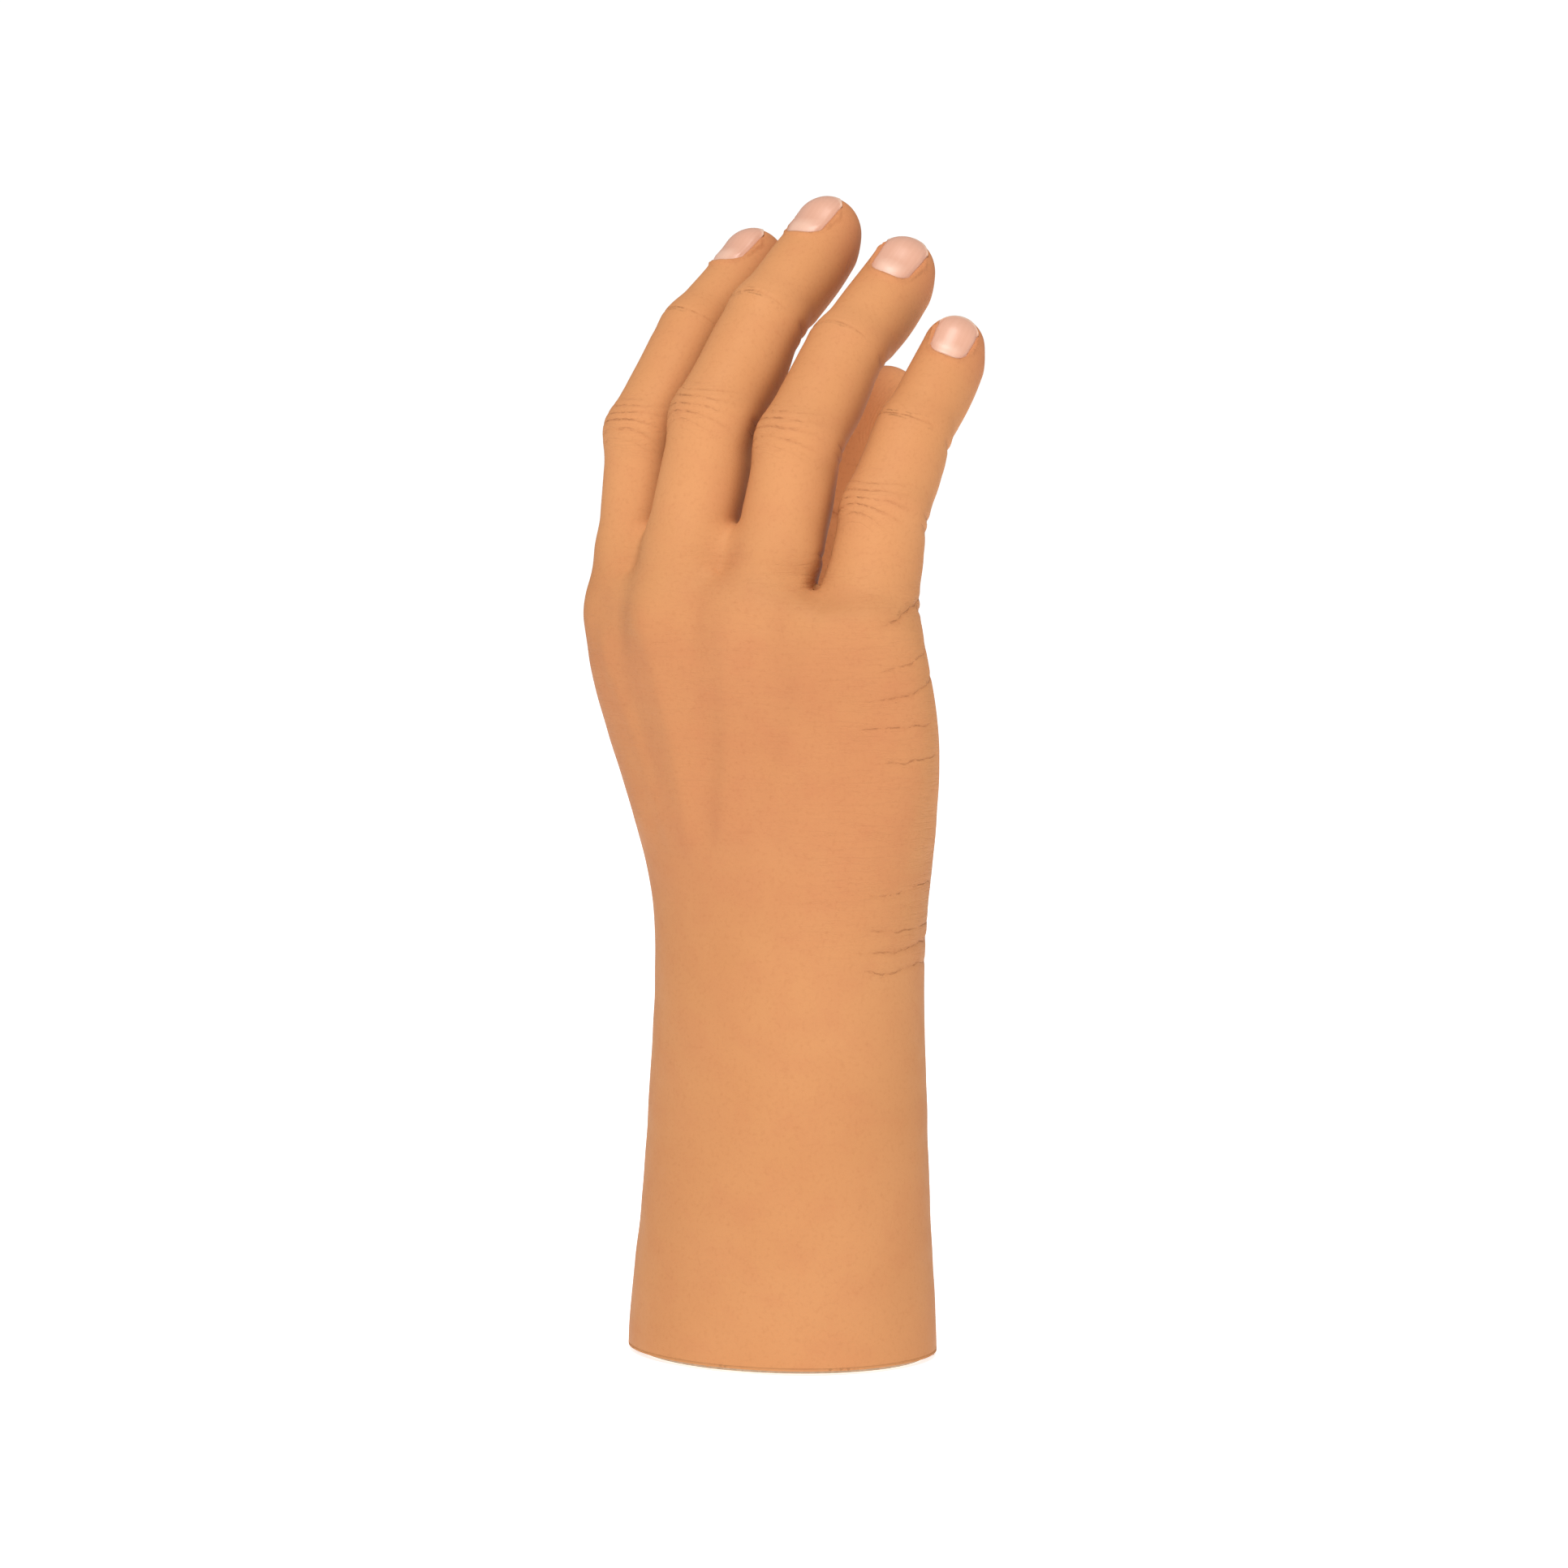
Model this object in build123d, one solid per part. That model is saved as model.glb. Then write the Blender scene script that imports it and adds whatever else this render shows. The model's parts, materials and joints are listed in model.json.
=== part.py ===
from build123d import *
import os
from math import cos, radians, sin

# A passive, positionable prosthetic right hand on a forearm section.
# A jointed metal skeleton with friction hinges carries moulded foam pads, and one thin
# silicone glove covers it from the fingertips to the cut end of the forearm.
# Frame in millimetres: origin at the centre of the cut end, +Z towards the fingertips,
# +X towards the little finger, +Y towards the palm, so the back of the hand faces -Y.

# ---- forearm and palm outline: z, centre x, centre y, half width, half depth, turn (deg) ----
TRUNK = (
    (0, -0.5, 0.0, 36.0, 31.0, 0),
    (14, -0.3, 0.0, 35.2, 30.5, 0),
    (31, 0.2, 0.2, 33.8, 29.2, 0),
    (48, 0.5, 0.4, 32.8, 28.2, 0),
    (66, 0.8, 0.5, 32.1, 27.3, 0),
    (84, 1.0, 0.6, 32.0, 26.5, 0),
    (102, 1.2, 0.2, 33.5, 25.0, 2),
    (120, 1.0, -2.0, 37.0, 22.5, 6),
    (138, 0.5, -5.0, 40.5, 19.5, 10),
    (155, 0.0, -9.5, 41.0, 18.0, 12),
    (168, -1.5, -12.0, 38.5, 15.5, 11),
    (178, -2.5, -12.5, 34.0, 12.0, 10),
)

# ---- fingers: base hinge, bend of each bone from vertical, bone lengths, skin radii ----
# The base hinge sits just below the web, where the glove can bend without pulling on its neighbours.
# lean tips the whole finger sideways, turn swings the way it curls, and nail_roll turns the nail
# round the last bone. root is how far the flesh goes on below the base hinge.
FINGERS = {
    "index": dict(
        start=(-31.5, -14.0, 178.0), lean=-0.5, turn=2.5, root=13.0,
        bends=(8.5, 37.3, 49), lengths=(26.6, 27.3, 24.6), radii=(9.0, 9.1, 8.5, 7.5),
        nail_roll=-8,
    ),
    "middle": dict(
        start=(-13.4, -17.1, 179.0), lean=0.5, turn=0.5, root=15.0,
        bends=(16.7, 37.9, 47), lengths=(29.7, 28.5, 28.0), radii=(9.8, 9.6, 8.9, 7.8),
        nail_roll=-2,
    ),
    "ring": dict(
        start=(6.0, -9.4, 178.0), lean=0.5, turn=-1.5, root=15.5,
        bends=(15.8, 37.4, 48.1), lengths=(25.5, 26.4, 25.7), radii=(9.7, 9.4, 8.6, 7.7),
        nail_roll=20,
    ),
    "little": dict(
        start=(24.1, -1.2, 167.5), lean=1.5, turn=-3.0, root=12.0,
        bends=(17, 31.1, 38), lengths=(20.9, 19.9, 23.7), radii=(10.6, 9.2, 8.0, 6.9),
        nail_roll=22,
    ),
}
# The thumb stands in front of the palm. It swivels about Z at its root and hinges at its last joint.
THUMB = dict(
    start=(-22.0, 9.5, 108.0), up=(-10.0, 25.5, 42.5), curl=(0.908, -0.265, 0.324),
    bends=(0, 20, 35), lengths=(50.5, 37.0, 28.0), radii=(13.5, 11.6, 10.4, 8.8), nail_roll=0,
    root=9.0,
)
THENAR_RADIUS = 15.0  # the ball of the thumb, halfway along its first bone

# ---- skin, pads and gaps ----
GLOVE_WALL = 1.6
PAD_INSET = GLOVE_WALL + 0.3
GLOVE_HEM = 0.6  # the glove stops just above the cut end
JOINT_SETBACK = 4.8  # pads stop this far from each hinge so that it can bend
KNUCKLE_SETBACK = 8.0  # the palm pads stop this far below the knuckle row
NAIL_GAP = 0.1
NAIL_THICKNESS = 0.7
NAIL_WIDTH, NAIL_LENGTH, NAIL_CORNER, NAIL_SHIFT = 1.45, 1.75, 0.55, 0.25  # times the tip radius
WAIST = 0.98  # a bone's flesh is a little slimmer between its joints
TIP_FULLNESS = 1.02
ROOT_SLIMNESS = 0.95
DOME_ANGLES = (20, 40, 58, 74)  # sections that round off a fingertip

# ---- finger hinges ----
PIN_RADIUS = 1.5
PIN_HEAD_RADIUS = 2.5
PIN_HEAD_LENGTH = 0.7
RIVET_RADIUS = 2.1
RUNNING_CLEARANCE = 0.05
EYE_RADIUS = 4.0
TONGUE_HALF = 2.5
FORK_SLOT_HALF = 2.8
FORK_HALF = 4.6
FORK_SLOT_DEPTH = 4.6
FORK_LENGTH = 13.0
BEAM_HALF_DEPTH = 3.0
TIP_HALF_WIDTH = 2.2  # the last bone is slimmer
TIP_HALF_DEPTH = 2.6
TIP_END_GAP = 1.0  # it stops this far short of the tip's centre
ELBOW_RADIUS = 2.8
OVERLAP = 1.0  # how far joined shapes run into each other, and cutters past a face

# ---- forearm and wrist ----
SHELL_WALL = 3.0
SHELL_TOP = 84.0
PLUG_HEIGHT = 14.0
PLUG_HOLE = (18.0, 60.0)  # inner and outer end of the screw holes, from the axis
PLUG_SCREW = (19.0, 50.0)
SCREW_SINK = 0.2
INSERT_RADIUS = 8.0
THREAD_RADIUS = 5.25  # M12 x 1.5, minor diameter of the tapped hole
HOUSING_BOTTOM = 70.0
BUSH_RADIUS = 9.0
BUSH_FLANGE_RADIUS = 13.0
BUSH_FLANGE = 2.0
STUD_RADIUS = 6.0
STUD_BOTTOM = 56.0
STUD_FLANGE_RADIUS = 16.0
STUD_FLANGE_BOTTOM = SHELL_TOP + BUSH_FLANGE + 0.3  # a running gap over the bush
STUD_FLANGE_TOP = STUD_FLANGE_BOTTOM + 4.7
WASHER_GAP = 0.1
NUT_HEIGHT = 6.5
NUT_CORNER_RADIUS = 10.0
WASHER_HEIGHT = 1.5
WASHER_RADIUS = 12.0

# ---- palm frame and thumb bracket ----
FRAME_FLANGE = 5.0
FRAME_TOP = STUD_FLANGE_TOP + FRAME_FLANGE
ARM_ROOTS = {"index": -12.0, "middle": -4.5, "ring": 3.5, "little": 11.0}
ARM_ROOT_Y = -4.7
ARM_HALF_WIDTH = 3.5
ARM_HALF_DEPTH = 2.5
SCREW_CIRCLE = 12.7
SCREW_ANGLES = (60, 120, 240, 300)
SCREW_RADIUS = 2.0
SCREW_HEAD_RADIUS = 2.8
SCREW_HEAD = 2.5
SCREW_SHORT = 0.3  # the screws end just inside the flange
SCREW_HEAD_ROOM = 0.2
RIB_CENTRE = (-3.5, -10.5, 132.0)
RIB_SIZE = (40.0, 5.0, 6.0)
RIB_TURN = 11.0
BRACKET_THICKNESS = 4.0
BRACKET_EDGE_Y = 1.0
SWIVEL_RADIUS = 2.5
SWIVEL_HUB_RADIUS = 5.5
SWIVEL_HUB_HEIGHT = 10.0
SWIVEL_CAP_RADIUS = 4.5
SWIVEL_CAP = 1.5
SWIVEL_GAP = 0.3
CAP_ROOM = 0.4
CAP_POCKET = 4.0
HUB_ROOM = 0.5
HUB_CLEAR_TOP = 20.0  # the foam leaves the swivel free up to this height above the frame
ROOT_TRIM_RADIUS = 10.3  # the back of the thumb's root is round about the swivel, to clear the frame
ROOT_TRIM_TOP = 120.0
THUMB_ROOM_X = -8.0  # the palm pads leave this side free for the thumb's root
THUMB_ROOM_Y = -4.5
PAD_SPLIT_Y = -4.5
PAD_BOTTOM = 92.0
PAD_ROOM = 0.3
HEAD_ROOM = 2.0
BIG = 800.0  # larger than the hand, for cutting


def trunk(inset):
    """The forearm and palm as one solid, set in by the given amount."""
    rings = []
    for z, centre_x, centre_y, half_x, half_y, turn in TRUNK:
        place = Plane.XY * Pos(centre_x, centre_y, z) * Rot(0, 0, turn)
        rings.append(place * Ellipse(half_x - inset, half_y - inset))
    return loft(rings, ruled=True)


def slab(bottom, top):
    """Everything between two heights."""
    return Pos(0, 0, (bottom + top) / 2) * Box(BIG, BIG, top - bottom)


def upright(radius, bottom, top, x=0.0, y=0.0):
    """A round bar along Z between two heights."""
    return Pos(x, y, (bottom + top) / 2) * Cylinder(radius, top - bottom)


class Limb:
    """The bones of one finger or of the thumb: joint points, directions and hinge axis."""

    def __init__(
        self, start, bends, lengths, radii, nail_roll, root,
        lean=0.0, turn=0.0, up=None, curl=None, belly=None,
    ):
        up = Vector(up or (sin(radians(lean)), 0, cos(radians(lean)))).normalized()
        curl = Vector(curl or (sin(radians(turn)), cos(radians(turn)), 0))
        self.side = curl.cross(up).normalized()
        self.palmar = up.cross(self.side)
        self.ways = [up * cos(radians(b)) + self.palmar * sin(radians(b)) for b in bends]
        self.lengths = lengths
        self.radii = radii
        self.belly = belly
        self.nail_roll = nail_roll
        self.root = root
        self.joints = [Vector(start)]
        for way, length in zip(self.ways, lengths):
            self.joints.append(self.joints[-1] + way * length)

    def frame(self, joint, bone):
        """A plane at a joint: x along the hinge, y towards the palm, z along the bone."""
        return Plane(origin=self.joints[joint], x_dir=self.side, z_dir=self.ways[bone])

    def sections(self):
        """Centre, direction and skin radius of each cross-section, root to fingertip."""
        ways, joints, radii, lengths = self.ways, self.joints, self.radii, self.lengths
        middle = self.belly or (radii[0] + radii[1]) / 2 * WAIST
        return [
            (joints[0] - ways[0] * self.root, ways[0], radii[0] * ROOT_SLIMNESS),
            (joints[0], ways[0], radii[0]),
            (joints[0] + ways[0] * lengths[0] / 2, ways[0], middle),
            (joints[1], (ways[0] + ways[1]).normalized(), radii[1]),
            (joints[1] + ways[1] * lengths[1] / 2, ways[1], (radii[1] + radii[2]) / 2 * WAIST),
            (joints[2], (ways[1] + ways[2]).normalized(), radii[2]),
            (joints[2] + ways[2] * lengths[2] / 2, ways[2], (radii[2] + radii[3]) / 2 * TIP_FULLNESS),
            (joints[3], ways[2], radii[3]),
        ]

    def form(self, inset):
        """The whole limb as one round solid with a domed tip."""
        rings = [
            Plane(origin=point, x_dir=self.side, z_dir=way) * Circle(radius - inset)
            for point, way, radius in self.sections()
        ]
        tip = self.radii[3] - inset
        for angle in DOME_ANGLES:
            point = self.joints[3] + self.ways[2] * tip * sin(radians(angle))
            plane = Plane(origin=point, x_dir=self.side, z_dir=self.ways[2])
            rings.append(plane * Circle(tip * cos(radians(angle))))
        return loft(rings, ruled=True)


def brick(half_x, half_y, bottom, top):
    """A box centred on x and y of its own plane, between two heights along z."""
    return Pos(0, 0, (bottom + top) / 2) * Box(2 * half_x, 2 * half_y, top - bottom)


def cross_bar(radius, half_length, z=0.0):
    """A round bar along the hinge axis of its own plane."""
    return Pos(0, 0, z) * Rot(0, 90, 0) * Cylinder(radius, 2 * half_length)


def fork():
    """A forked bone end with its hinge at the origin and its bone along -z."""
    body = brick(FORK_HALF, BEAM_HALF_DEPTH, -FORK_LENGTH, 0) + cross_bar(EYE_RADIUS, FORK_HALF)
    past = EYE_RADIUS + OVERLAP
    body -= brick(FORK_SLOT_HALF, past, -FORK_SLOT_DEPTH, past)
    return body - cross_bar(PIN_RADIUS, FORK_HALF + OVERLAP)


def tongue(length):
    """A flat bone end with its hinge at the origin and its bone along +z."""
    body = brick(TONGUE_HALF, BEAM_HALF_DEPTH, 0, length) + cross_bar(EYE_RADIUS, TONGUE_HALF)
    return body - cross_bar(PIN_RADIUS + RUNNING_CLEARANCE, TONGUE_HALF + OVERLAP)


def hinge_pin(limb, joint, bone):
    """A headed pin, riveted at its far end, across one hinge."""
    head = Pos(FORK_HALF + PIN_HEAD_LENGTH / 2, 0, 0) * Rot(0, 90, 0)
    tail = Pos(-FORK_HALF - PIN_HEAD_LENGTH / 2, 0, 0) * Rot(0, 90, 0)
    pin = cross_bar(PIN_RADIUS, FORK_HALF)
    pin += head * Cylinder(PIN_HEAD_RADIUS, PIN_HEAD_LENGTH)
    pin += tail * Cylinder(RIVET_RADIUS, PIN_HEAD_LENGTH)
    return limb.frame(joint, bone) * pin


def proximal_link(limb):
    """The first finger bone: tongue at the knuckle, fork at the middle joint."""
    length = limb.lengths[0]
    return limb.frame(0, 0) * (tongue(length - FORK_LENGTH + OVERLAP) + Pos(0, 0, length) * fork())


def tip_core(limb):
    """The two outer bones in one piece, with the fixed bend of the last joint."""
    outer = brick(TIP_HALF_WIDTH, TIP_HALF_DEPTH, 0, limb.lengths[2] - TIP_END_GAP)
    elbow = cross_bar(ELBOW_RADIUS, TIP_HALF_WIDTH)
    return limb.frame(1, 1) * tongue(limb.lengths[1]) + limb.frame(2, 2) * (outer + elbow)


def after(limb, joint, bone, distance):
    """The half space beyond a plane square to a bone, a distance past a joint."""
    return limb.frame(joint, bone) * brick(BIG / 4, BIG / 4, distance, BIG / 2)


def first_pad(limb, form, bone_solid):
    """The foam round the first bone, between its two hinges."""
    pad = form & after(limb, 0, 0, JOINT_SETBACK)
    pad -= after(limb, 1, 0, -JOINT_SETBACK)
    return pad - bone_solid


def nail(limb):
    """A thin curved nail plate over the back of the fingertip."""
    radius = limb.radii[3]
    plate = limb.form(-NAIL_GAP - NAIL_THICKNESS) - limb.form(-NAIL_GAP)
    outline = Plane.XZ * RectangleRounded(
        NAIL_WIDTH * radius, NAIL_LENGTH * radius, NAIL_CORNER * radius
    )
    window = Pos(0, -NAIL_SHIFT * radius, 0) * extrude(outline, 2 * radius)
    return plate & (limb.frame(3, 2) * Rot(0, 0, limb.nail_roll) * window)


def forearm_shell():
    """The laminated forearm shell, open at both ends."""
    shell = trunk(PAD_INSET) - trunk(PAD_INSET + SHELL_WALL)
    shell = shell & slab(0, SHELL_TOP)
    return shell - screw_holes()


def screw_holes():
    """The radial holes for the screws that hold the end plug."""
    return plug_screw_bars(SCREW_RADIUS, *PLUG_HOLE)


def plug_screw_bars(radius, inner, outer):
    """Four round bars in a cross at half the plug's height."""
    bars = [
        Pos(0, 0, PLUG_HEIGHT / 2) * Rot(0, 0, angle) * Pos((inner + outer) / 2, 0, 0)
        * Rot(0, 90, 0) * Cylinder(radius, outer - inner)
        for angle in (0, 90, 180, 270)
    ]
    return Compound(children=bars)


def plug_screws():
    """Four set screws, flush with the outside of the shell."""
    bars = plug_screw_bars(SCREW_RADIUS, *PLUG_SCREW)
    return bars & (trunk(PAD_INSET + SCREW_SINK) & slab(0, PLUG_HEIGHT))


def base_plug():
    """The solid plug that closes the cut end and holds the threaded insert."""
    plug = trunk(PAD_INSET + SHELL_WALL) & slab(0, PLUG_HEIGHT)
    plug -= upright(INSERT_RADIUS, -OVERLAP, PLUG_HEIGHT + OVERLAP)
    return plug - screw_holes()


def base_insert():
    """The brass insert with its tapped hole in the cut end."""
    return upright(INSERT_RADIUS, 0, PLUG_HEIGHT) - upright(THREAD_RADIUS, -OVERLAP, PLUG_HEIGHT + OVERLAP)


def wrist_housing():
    """The block bonded into the top of the shell, bored for the wrist bush."""
    block = trunk(PAD_INSET + SHELL_WALL) & slab(HOUSING_BOTTOM, SHELL_TOP)
    return block - upright(BUSH_RADIUS, HOUSING_BOTTOM - OVERLAP, SHELL_TOP + OVERLAP)


def wrist_bush():
    """The flanged acetal bush that the wrist turns in."""
    bush = upright(BUSH_RADIUS, HOUSING_BOTTOM, SHELL_TOP)
    bush += upright(BUSH_FLANGE_RADIUS, SHELL_TOP, SHELL_TOP + BUSH_FLANGE)
    bore = STUD_RADIUS + RUNNING_CLEARANCE
    return bush - upright(bore, HOUSING_BOTTOM - OVERLAP, SHELL_TOP + BUSH_FLANGE + OVERLAP)


def wrist_stud():
    """The turning spindle with the flange that carries the hand."""
    stud = upright(STUD_RADIUS, STUD_BOTTOM, STUD_FLANGE_BOTTOM)
    stud += upright(STUD_FLANGE_RADIUS, STUD_FLANGE_BOTTOM, STUD_FLANGE_TOP)
    for x, y in screw_places():
        stud -= upright(SCREW_RADIUS, STUD_FLANGE_BOTTOM - OVERLAP, STUD_FLANGE_TOP + OVERLAP, x, y)
    return stud


def friction_washer():
    """The spring washer that sets the drag of the wrist."""
    top = HOUSING_BOTTOM - WASHER_GAP
    ring = upright(WASHER_RADIUS, top - WASHER_HEIGHT, top)
    return ring - upright(STUD_RADIUS, top - WASHER_HEIGHT - OVERLAP, top + OVERLAP)


def wrist_nut():
    """The hexagon nut that loads the friction washer."""
    top = HOUSING_BOTTOM - WASHER_GAP - WASHER_HEIGHT
    nut = Pos(0, 0, top - NUT_HEIGHT) * extrude(RegularPolygon(NUT_CORNER_RADIUS, 6), NUT_HEIGHT)
    return nut - upright(STUD_RADIUS, top - NUT_HEIGHT - OVERLAP, top + OVERLAP)


def screw_places():
    """The four places round the wrist flange where the palm frame is screwed down."""
    return [
        (SCREW_CIRCLE * cos(radians(a)), SCREW_CIRCLE * sin(radians(a))) for a in SCREW_ANGLES
    ]


def frame_screws():
    """Four cap screws that hold the palm frame on the wrist flange."""
    screws = []
    for x, y in screw_places():
        shank = upright(SCREW_RADIUS, STUD_FLANGE_BOTTOM + SCREW_SHORT, FRAME_TOP, x, y)
        head = upright(SCREW_HEAD_RADIUS, FRAME_TOP, FRAME_TOP + SCREW_HEAD, x, y)
        screws.append(shank + head)
    return Compound(children=screws)


def arm(name, limb):
    """One metacarpal arm of the palm frame, from the flange to its forked knuckle end."""
    root = Vector(ARM_ROOTS[name], ARM_ROOT_Y, FRAME_TOP - OVERLAP)
    foot = limb.joints[0] - limb.ways[0] * (FORK_LENGTH - 2 * OVERLAP)
    run = foot - root
    across = (limb.side - run.normalized() * limb.side.dot(run.normalized())).normalized()
    beam_plane = Plane(origin=root, x_dir=across, z_dir=run.normalized())
    beam = beam_plane * brick(ARM_HALF_WIDTH, ARM_HALF_DEPTH, 0, run.length)
    return beam + limb.frame(0, 0) * fork()


def palm_frame(limbs):
    """The light-alloy frame: wrist flange, four metacarpal arms and a cross rib."""
    frame = upright(STUD_FLANGE_RADIUS, STUD_FLANGE_TOP, FRAME_TOP)
    for x, y in screw_places():
        frame -= upright(SCREW_RADIUS, STUD_FLANGE_TOP - OVERLAP, FRAME_TOP + OVERLAP, x, y)
    for name in ARM_ROOTS:
        frame += arm(name, limbs[name])
    rib = Pos(*RIB_CENTRE) * Rot(0, 0, RIB_TURN) * Box(*RIB_SIZE)
    return frame + rib


def thumb_bracket(limb):
    """The plate that reaches from the wrist flange to the thumb's swivel pin."""
    x, y, _ = limb.joints[0]
    reach = Vector(x, y, 0)
    angle = Vector(1, 0, 0).get_signed_angle(reach, Vector(0, 0, 1))
    plate = Rot(0, 0, angle) * Pos(reach.length / 2, 0, 0) * Box(
        reach.length, 2 * SWIVEL_HUB_RADIUS, BRACKET_THICKNESS
    )
    plate = Pos(0, 0, FRAME_TOP + BRACKET_THICKNESS / 2) * plate
    top = FRAME_TOP + BRACKET_THICKNESS
    plate += upright(SWIVEL_HUB_RADIUS, FRAME_TOP, top, x, y)
    for screw_x, screw_y in screw_places():
        clearance = SCREW_HEAD_RADIUS + SCREW_HEAD_ROOM
        plate -= upright(clearance, FRAME_TOP - OVERLAP, top + OVERLAP, screw_x, screw_y)
    plate -= Pos(0, BRACKET_EDGE_Y - BIG / 2, 0) * Box(BIG, BIG, BIG)
    return plate - upright(SWIVEL_RADIUS, FRAME_TOP - OVERLAP, top + OVERLAP, x, y)


def swivel_pin(limb):
    """The pin that the thumb swivels on, with its cap."""
    x, y, _ = limb.joints[0]
    hub_top = FRAME_TOP + BRACKET_THICKNESS + SWIVEL_HUB_HEIGHT + 2 * SWIVEL_GAP
    pin = upright(SWIVEL_RADIUS, FRAME_TOP, hub_top, x, y)
    return pin + upright(SWIVEL_CAP_RADIUS, hub_top, hub_top + SWIVEL_CAP, x, y)


def thumb_base_link(limb):
    """The thumb's two inner bones in one piece: a hub on the swivel pin and a fork at the far end."""
    x, y, _ = limb.joints[0]
    bottom = FRAME_TOP + BRACKET_THICKNESS + SWIVEL_GAP
    top = bottom + SWIVEL_HUB_HEIGHT
    bone = limb.frame(0, 0) * brick(TONGUE_HALF, BEAM_HALF_DEPTH, 0, limb.lengths[0])
    bone += limb.frame(1, 1) * cross_bar(BEAM_HALF_DEPTH, TONGUE_HALF)
    second = limb.lengths[1] - FORK_LENGTH + OVERLAP
    bone += limb.frame(1, 1) * brick(TONGUE_HALF, BEAM_HALF_DEPTH, 0, second)
    bone += limb.frame(2, 1) * fork()
    bone -= upright(SWIVEL_CAP_RADIUS + CAP_ROOM, top, top + CAP_POCKET, x, y)
    bone += upright(SWIVEL_HUB_RADIUS, bottom, top, x, y)
    bore = SWIVEL_RADIUS + RUNNING_CLEARANCE
    return bone - upright(bore, bottom - OVERLAP, top + OVERLAP, x, y)


def thumb_tip_core(limb):
    """The thumb's last bone."""
    root = limb.lengths[2] / 2
    tip = brick(TIP_HALF_WIDTH, TIP_HALF_DEPTH, root - OVERLAP, limb.lengths[2] - TIP_END_GAP)
    return limb.frame(2, 2) * (tongue(root) + tip)


def thumb_base_pad(limb, form, bone_solid):
    """The foam ball and first bone of the thumb, clear of the swivel's bracket and cap."""
    pad = form - after(limb, 2, 1, -JOINT_SETBACK) - bone_solid
    x, y, _ = limb.joints[0]
    pad -= upright(SWIVEL_HUB_RADIUS + HUB_ROOM, 0, FRAME_TOP + HUB_CLEAR_TOP, x, y)
    back = Pos(x, y - BIG / 2, ROOT_TRIM_TOP - BIG / 2) * Box(BIG, BIG, BIG)
    pad -= back - upright(ROOT_TRIM_RADIUS, -BIG, BIG, x, y)
    return pad & slab(FRAME_TOP + BRACKET_THICKNESS + HUB_ROOM, BIG)


def knuckle_slope(limbs):
    """The half space above the line where the palm pads stop below the knuckles."""
    first, last = limbs["index"].joints[0], limbs["little"].joints[0]
    across = (last - first).normalized()
    back = Vector(0, 1, 0)
    up = across.cross(back).normalized()
    plane = Plane(origin=first - up * KNUCKLE_SETBACK, z_dir=up)
    return plane * brick(BIG / 4, BIG / 4, 0, BIG / 2)


def palm_pads(limbs, frame_solid):
    """The two foam halves of the palm, split along the frame and clear of the thumb."""
    pad = trunk(PAD_INSET) & slab(PAD_BOTTOM, BIG)
    pad -= knuckle_slope(limbs)
    pad -= frame_solid
    pad -= upright(STUD_FLANGE_RADIUS + PAD_ROOM, 0, FRAME_TOP + SCREW_HEAD + HEAD_ROOM)
    pad -= Pos(THUMB_ROOM_X - BIG / 4, THUMB_ROOM_Y + BIG / 4, 0) * Box(BIG / 2, BIG / 2, BIG)
    palmar_half = Pos(0, PAD_SPLIT_Y + BIG / 4, 0) * Box(BIG, BIG / 2, BIG)
    palmar = pad & palmar_half
    dorsal = pad - palmar_half
    return dorsal, palmar


def glove(limbs):
    """The one-piece silicone glove, open at the cut end of the forearm."""
    outer = trunk(0)
    inner = trunk(GLOVE_WALL) & slab(-OVERLAP, TRUNK[-1][0] - GLOVE_WALL)
    for limb in limbs.values():
        outer += limb.form(0)
        inner += limb.form(GLOVE_WALL)
    return (outer - inner) & slab(GLOVE_HEM, BIG)


def make_parts():
    """Every node of the hand, by name."""
    limbs = {name: Limb(**size) for name, size in FINGERS.items()}
    thumb = Limb(**THUMB, belly=THENAR_RADIUS)
    all_limbs = {**limbs, "thumb": thumb}
    frame_solid = palm_frame(limbs)
    dorsal, palmar = palm_pads(limbs, frame_solid)
    parts = {
        "forearm_shell": forearm_shell(),
        "base_plug": base_plug(),
        "base_insert": base_insert(),
        "plug_screws": plug_screws(),
        "wrist_housing": wrist_housing(),
        "wrist_bush": wrist_bush(),
        "wrist_stud": wrist_stud(),
        "friction_washer": friction_washer(),
        "wrist_nut": wrist_nut(),
        "palm_frame": frame_solid,
        "frame_screws": frame_screws(),
        "palm_pad_dorsal": dorsal,
        "palm_pad_palmar": palmar,
        "thumb_bracket": thumb_bracket(thumb),
        "thumb_swivel_pin": swivel_pin(thumb),
        "cosmetic_glove": glove(all_limbs),
    }
    for name, limb in all_limbs.items():
        form = limb.form(PAD_INSET)
        parts[name + "_nail"] = nail(limb)
        if name == "thumb":
            core = thumb_tip_core(limb)
            bone = thumb_base_link(limb)
            parts["thumb_tip_core"] = core
            parts["thumb_tip_pad"] = (form & after(limb, 2, 2, JOINT_SETBACK)) - core
            parts["thumb_base_link"] = bone
            parts["thumb_base_pad"] = thumb_base_pad(limb, form, bone)
            parts["thumb_tip_pin"] = hinge_pin(limb, 2, 1)
            continue
        core = tip_core(limb)
        parts[name + "_tip_core"] = core
        parts[name + "_tip_pad"] = (form & after(limb, 1, 1, JOINT_SETBACK)) - core
        bone = proximal_link(limb)
        parts[name + "_proximal_link"] = bone
        parts[name + "_proximal_pad"] = first_pad(limb, form, bone)
        parts[name + "_knuckle_pin"] = hinge_pin(limb, 0, 0)
        parts[name + "_middle_pin"] = hinge_pin(limb, 1, 0)
    return parts


def main():
    os.makedirs("parts", exist_ok=True)
    for name, solid in make_parts().items():
        export_step(solid, os.path.join("parts", name + ".step"))


if __name__ == "__main__":
    main()
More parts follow.
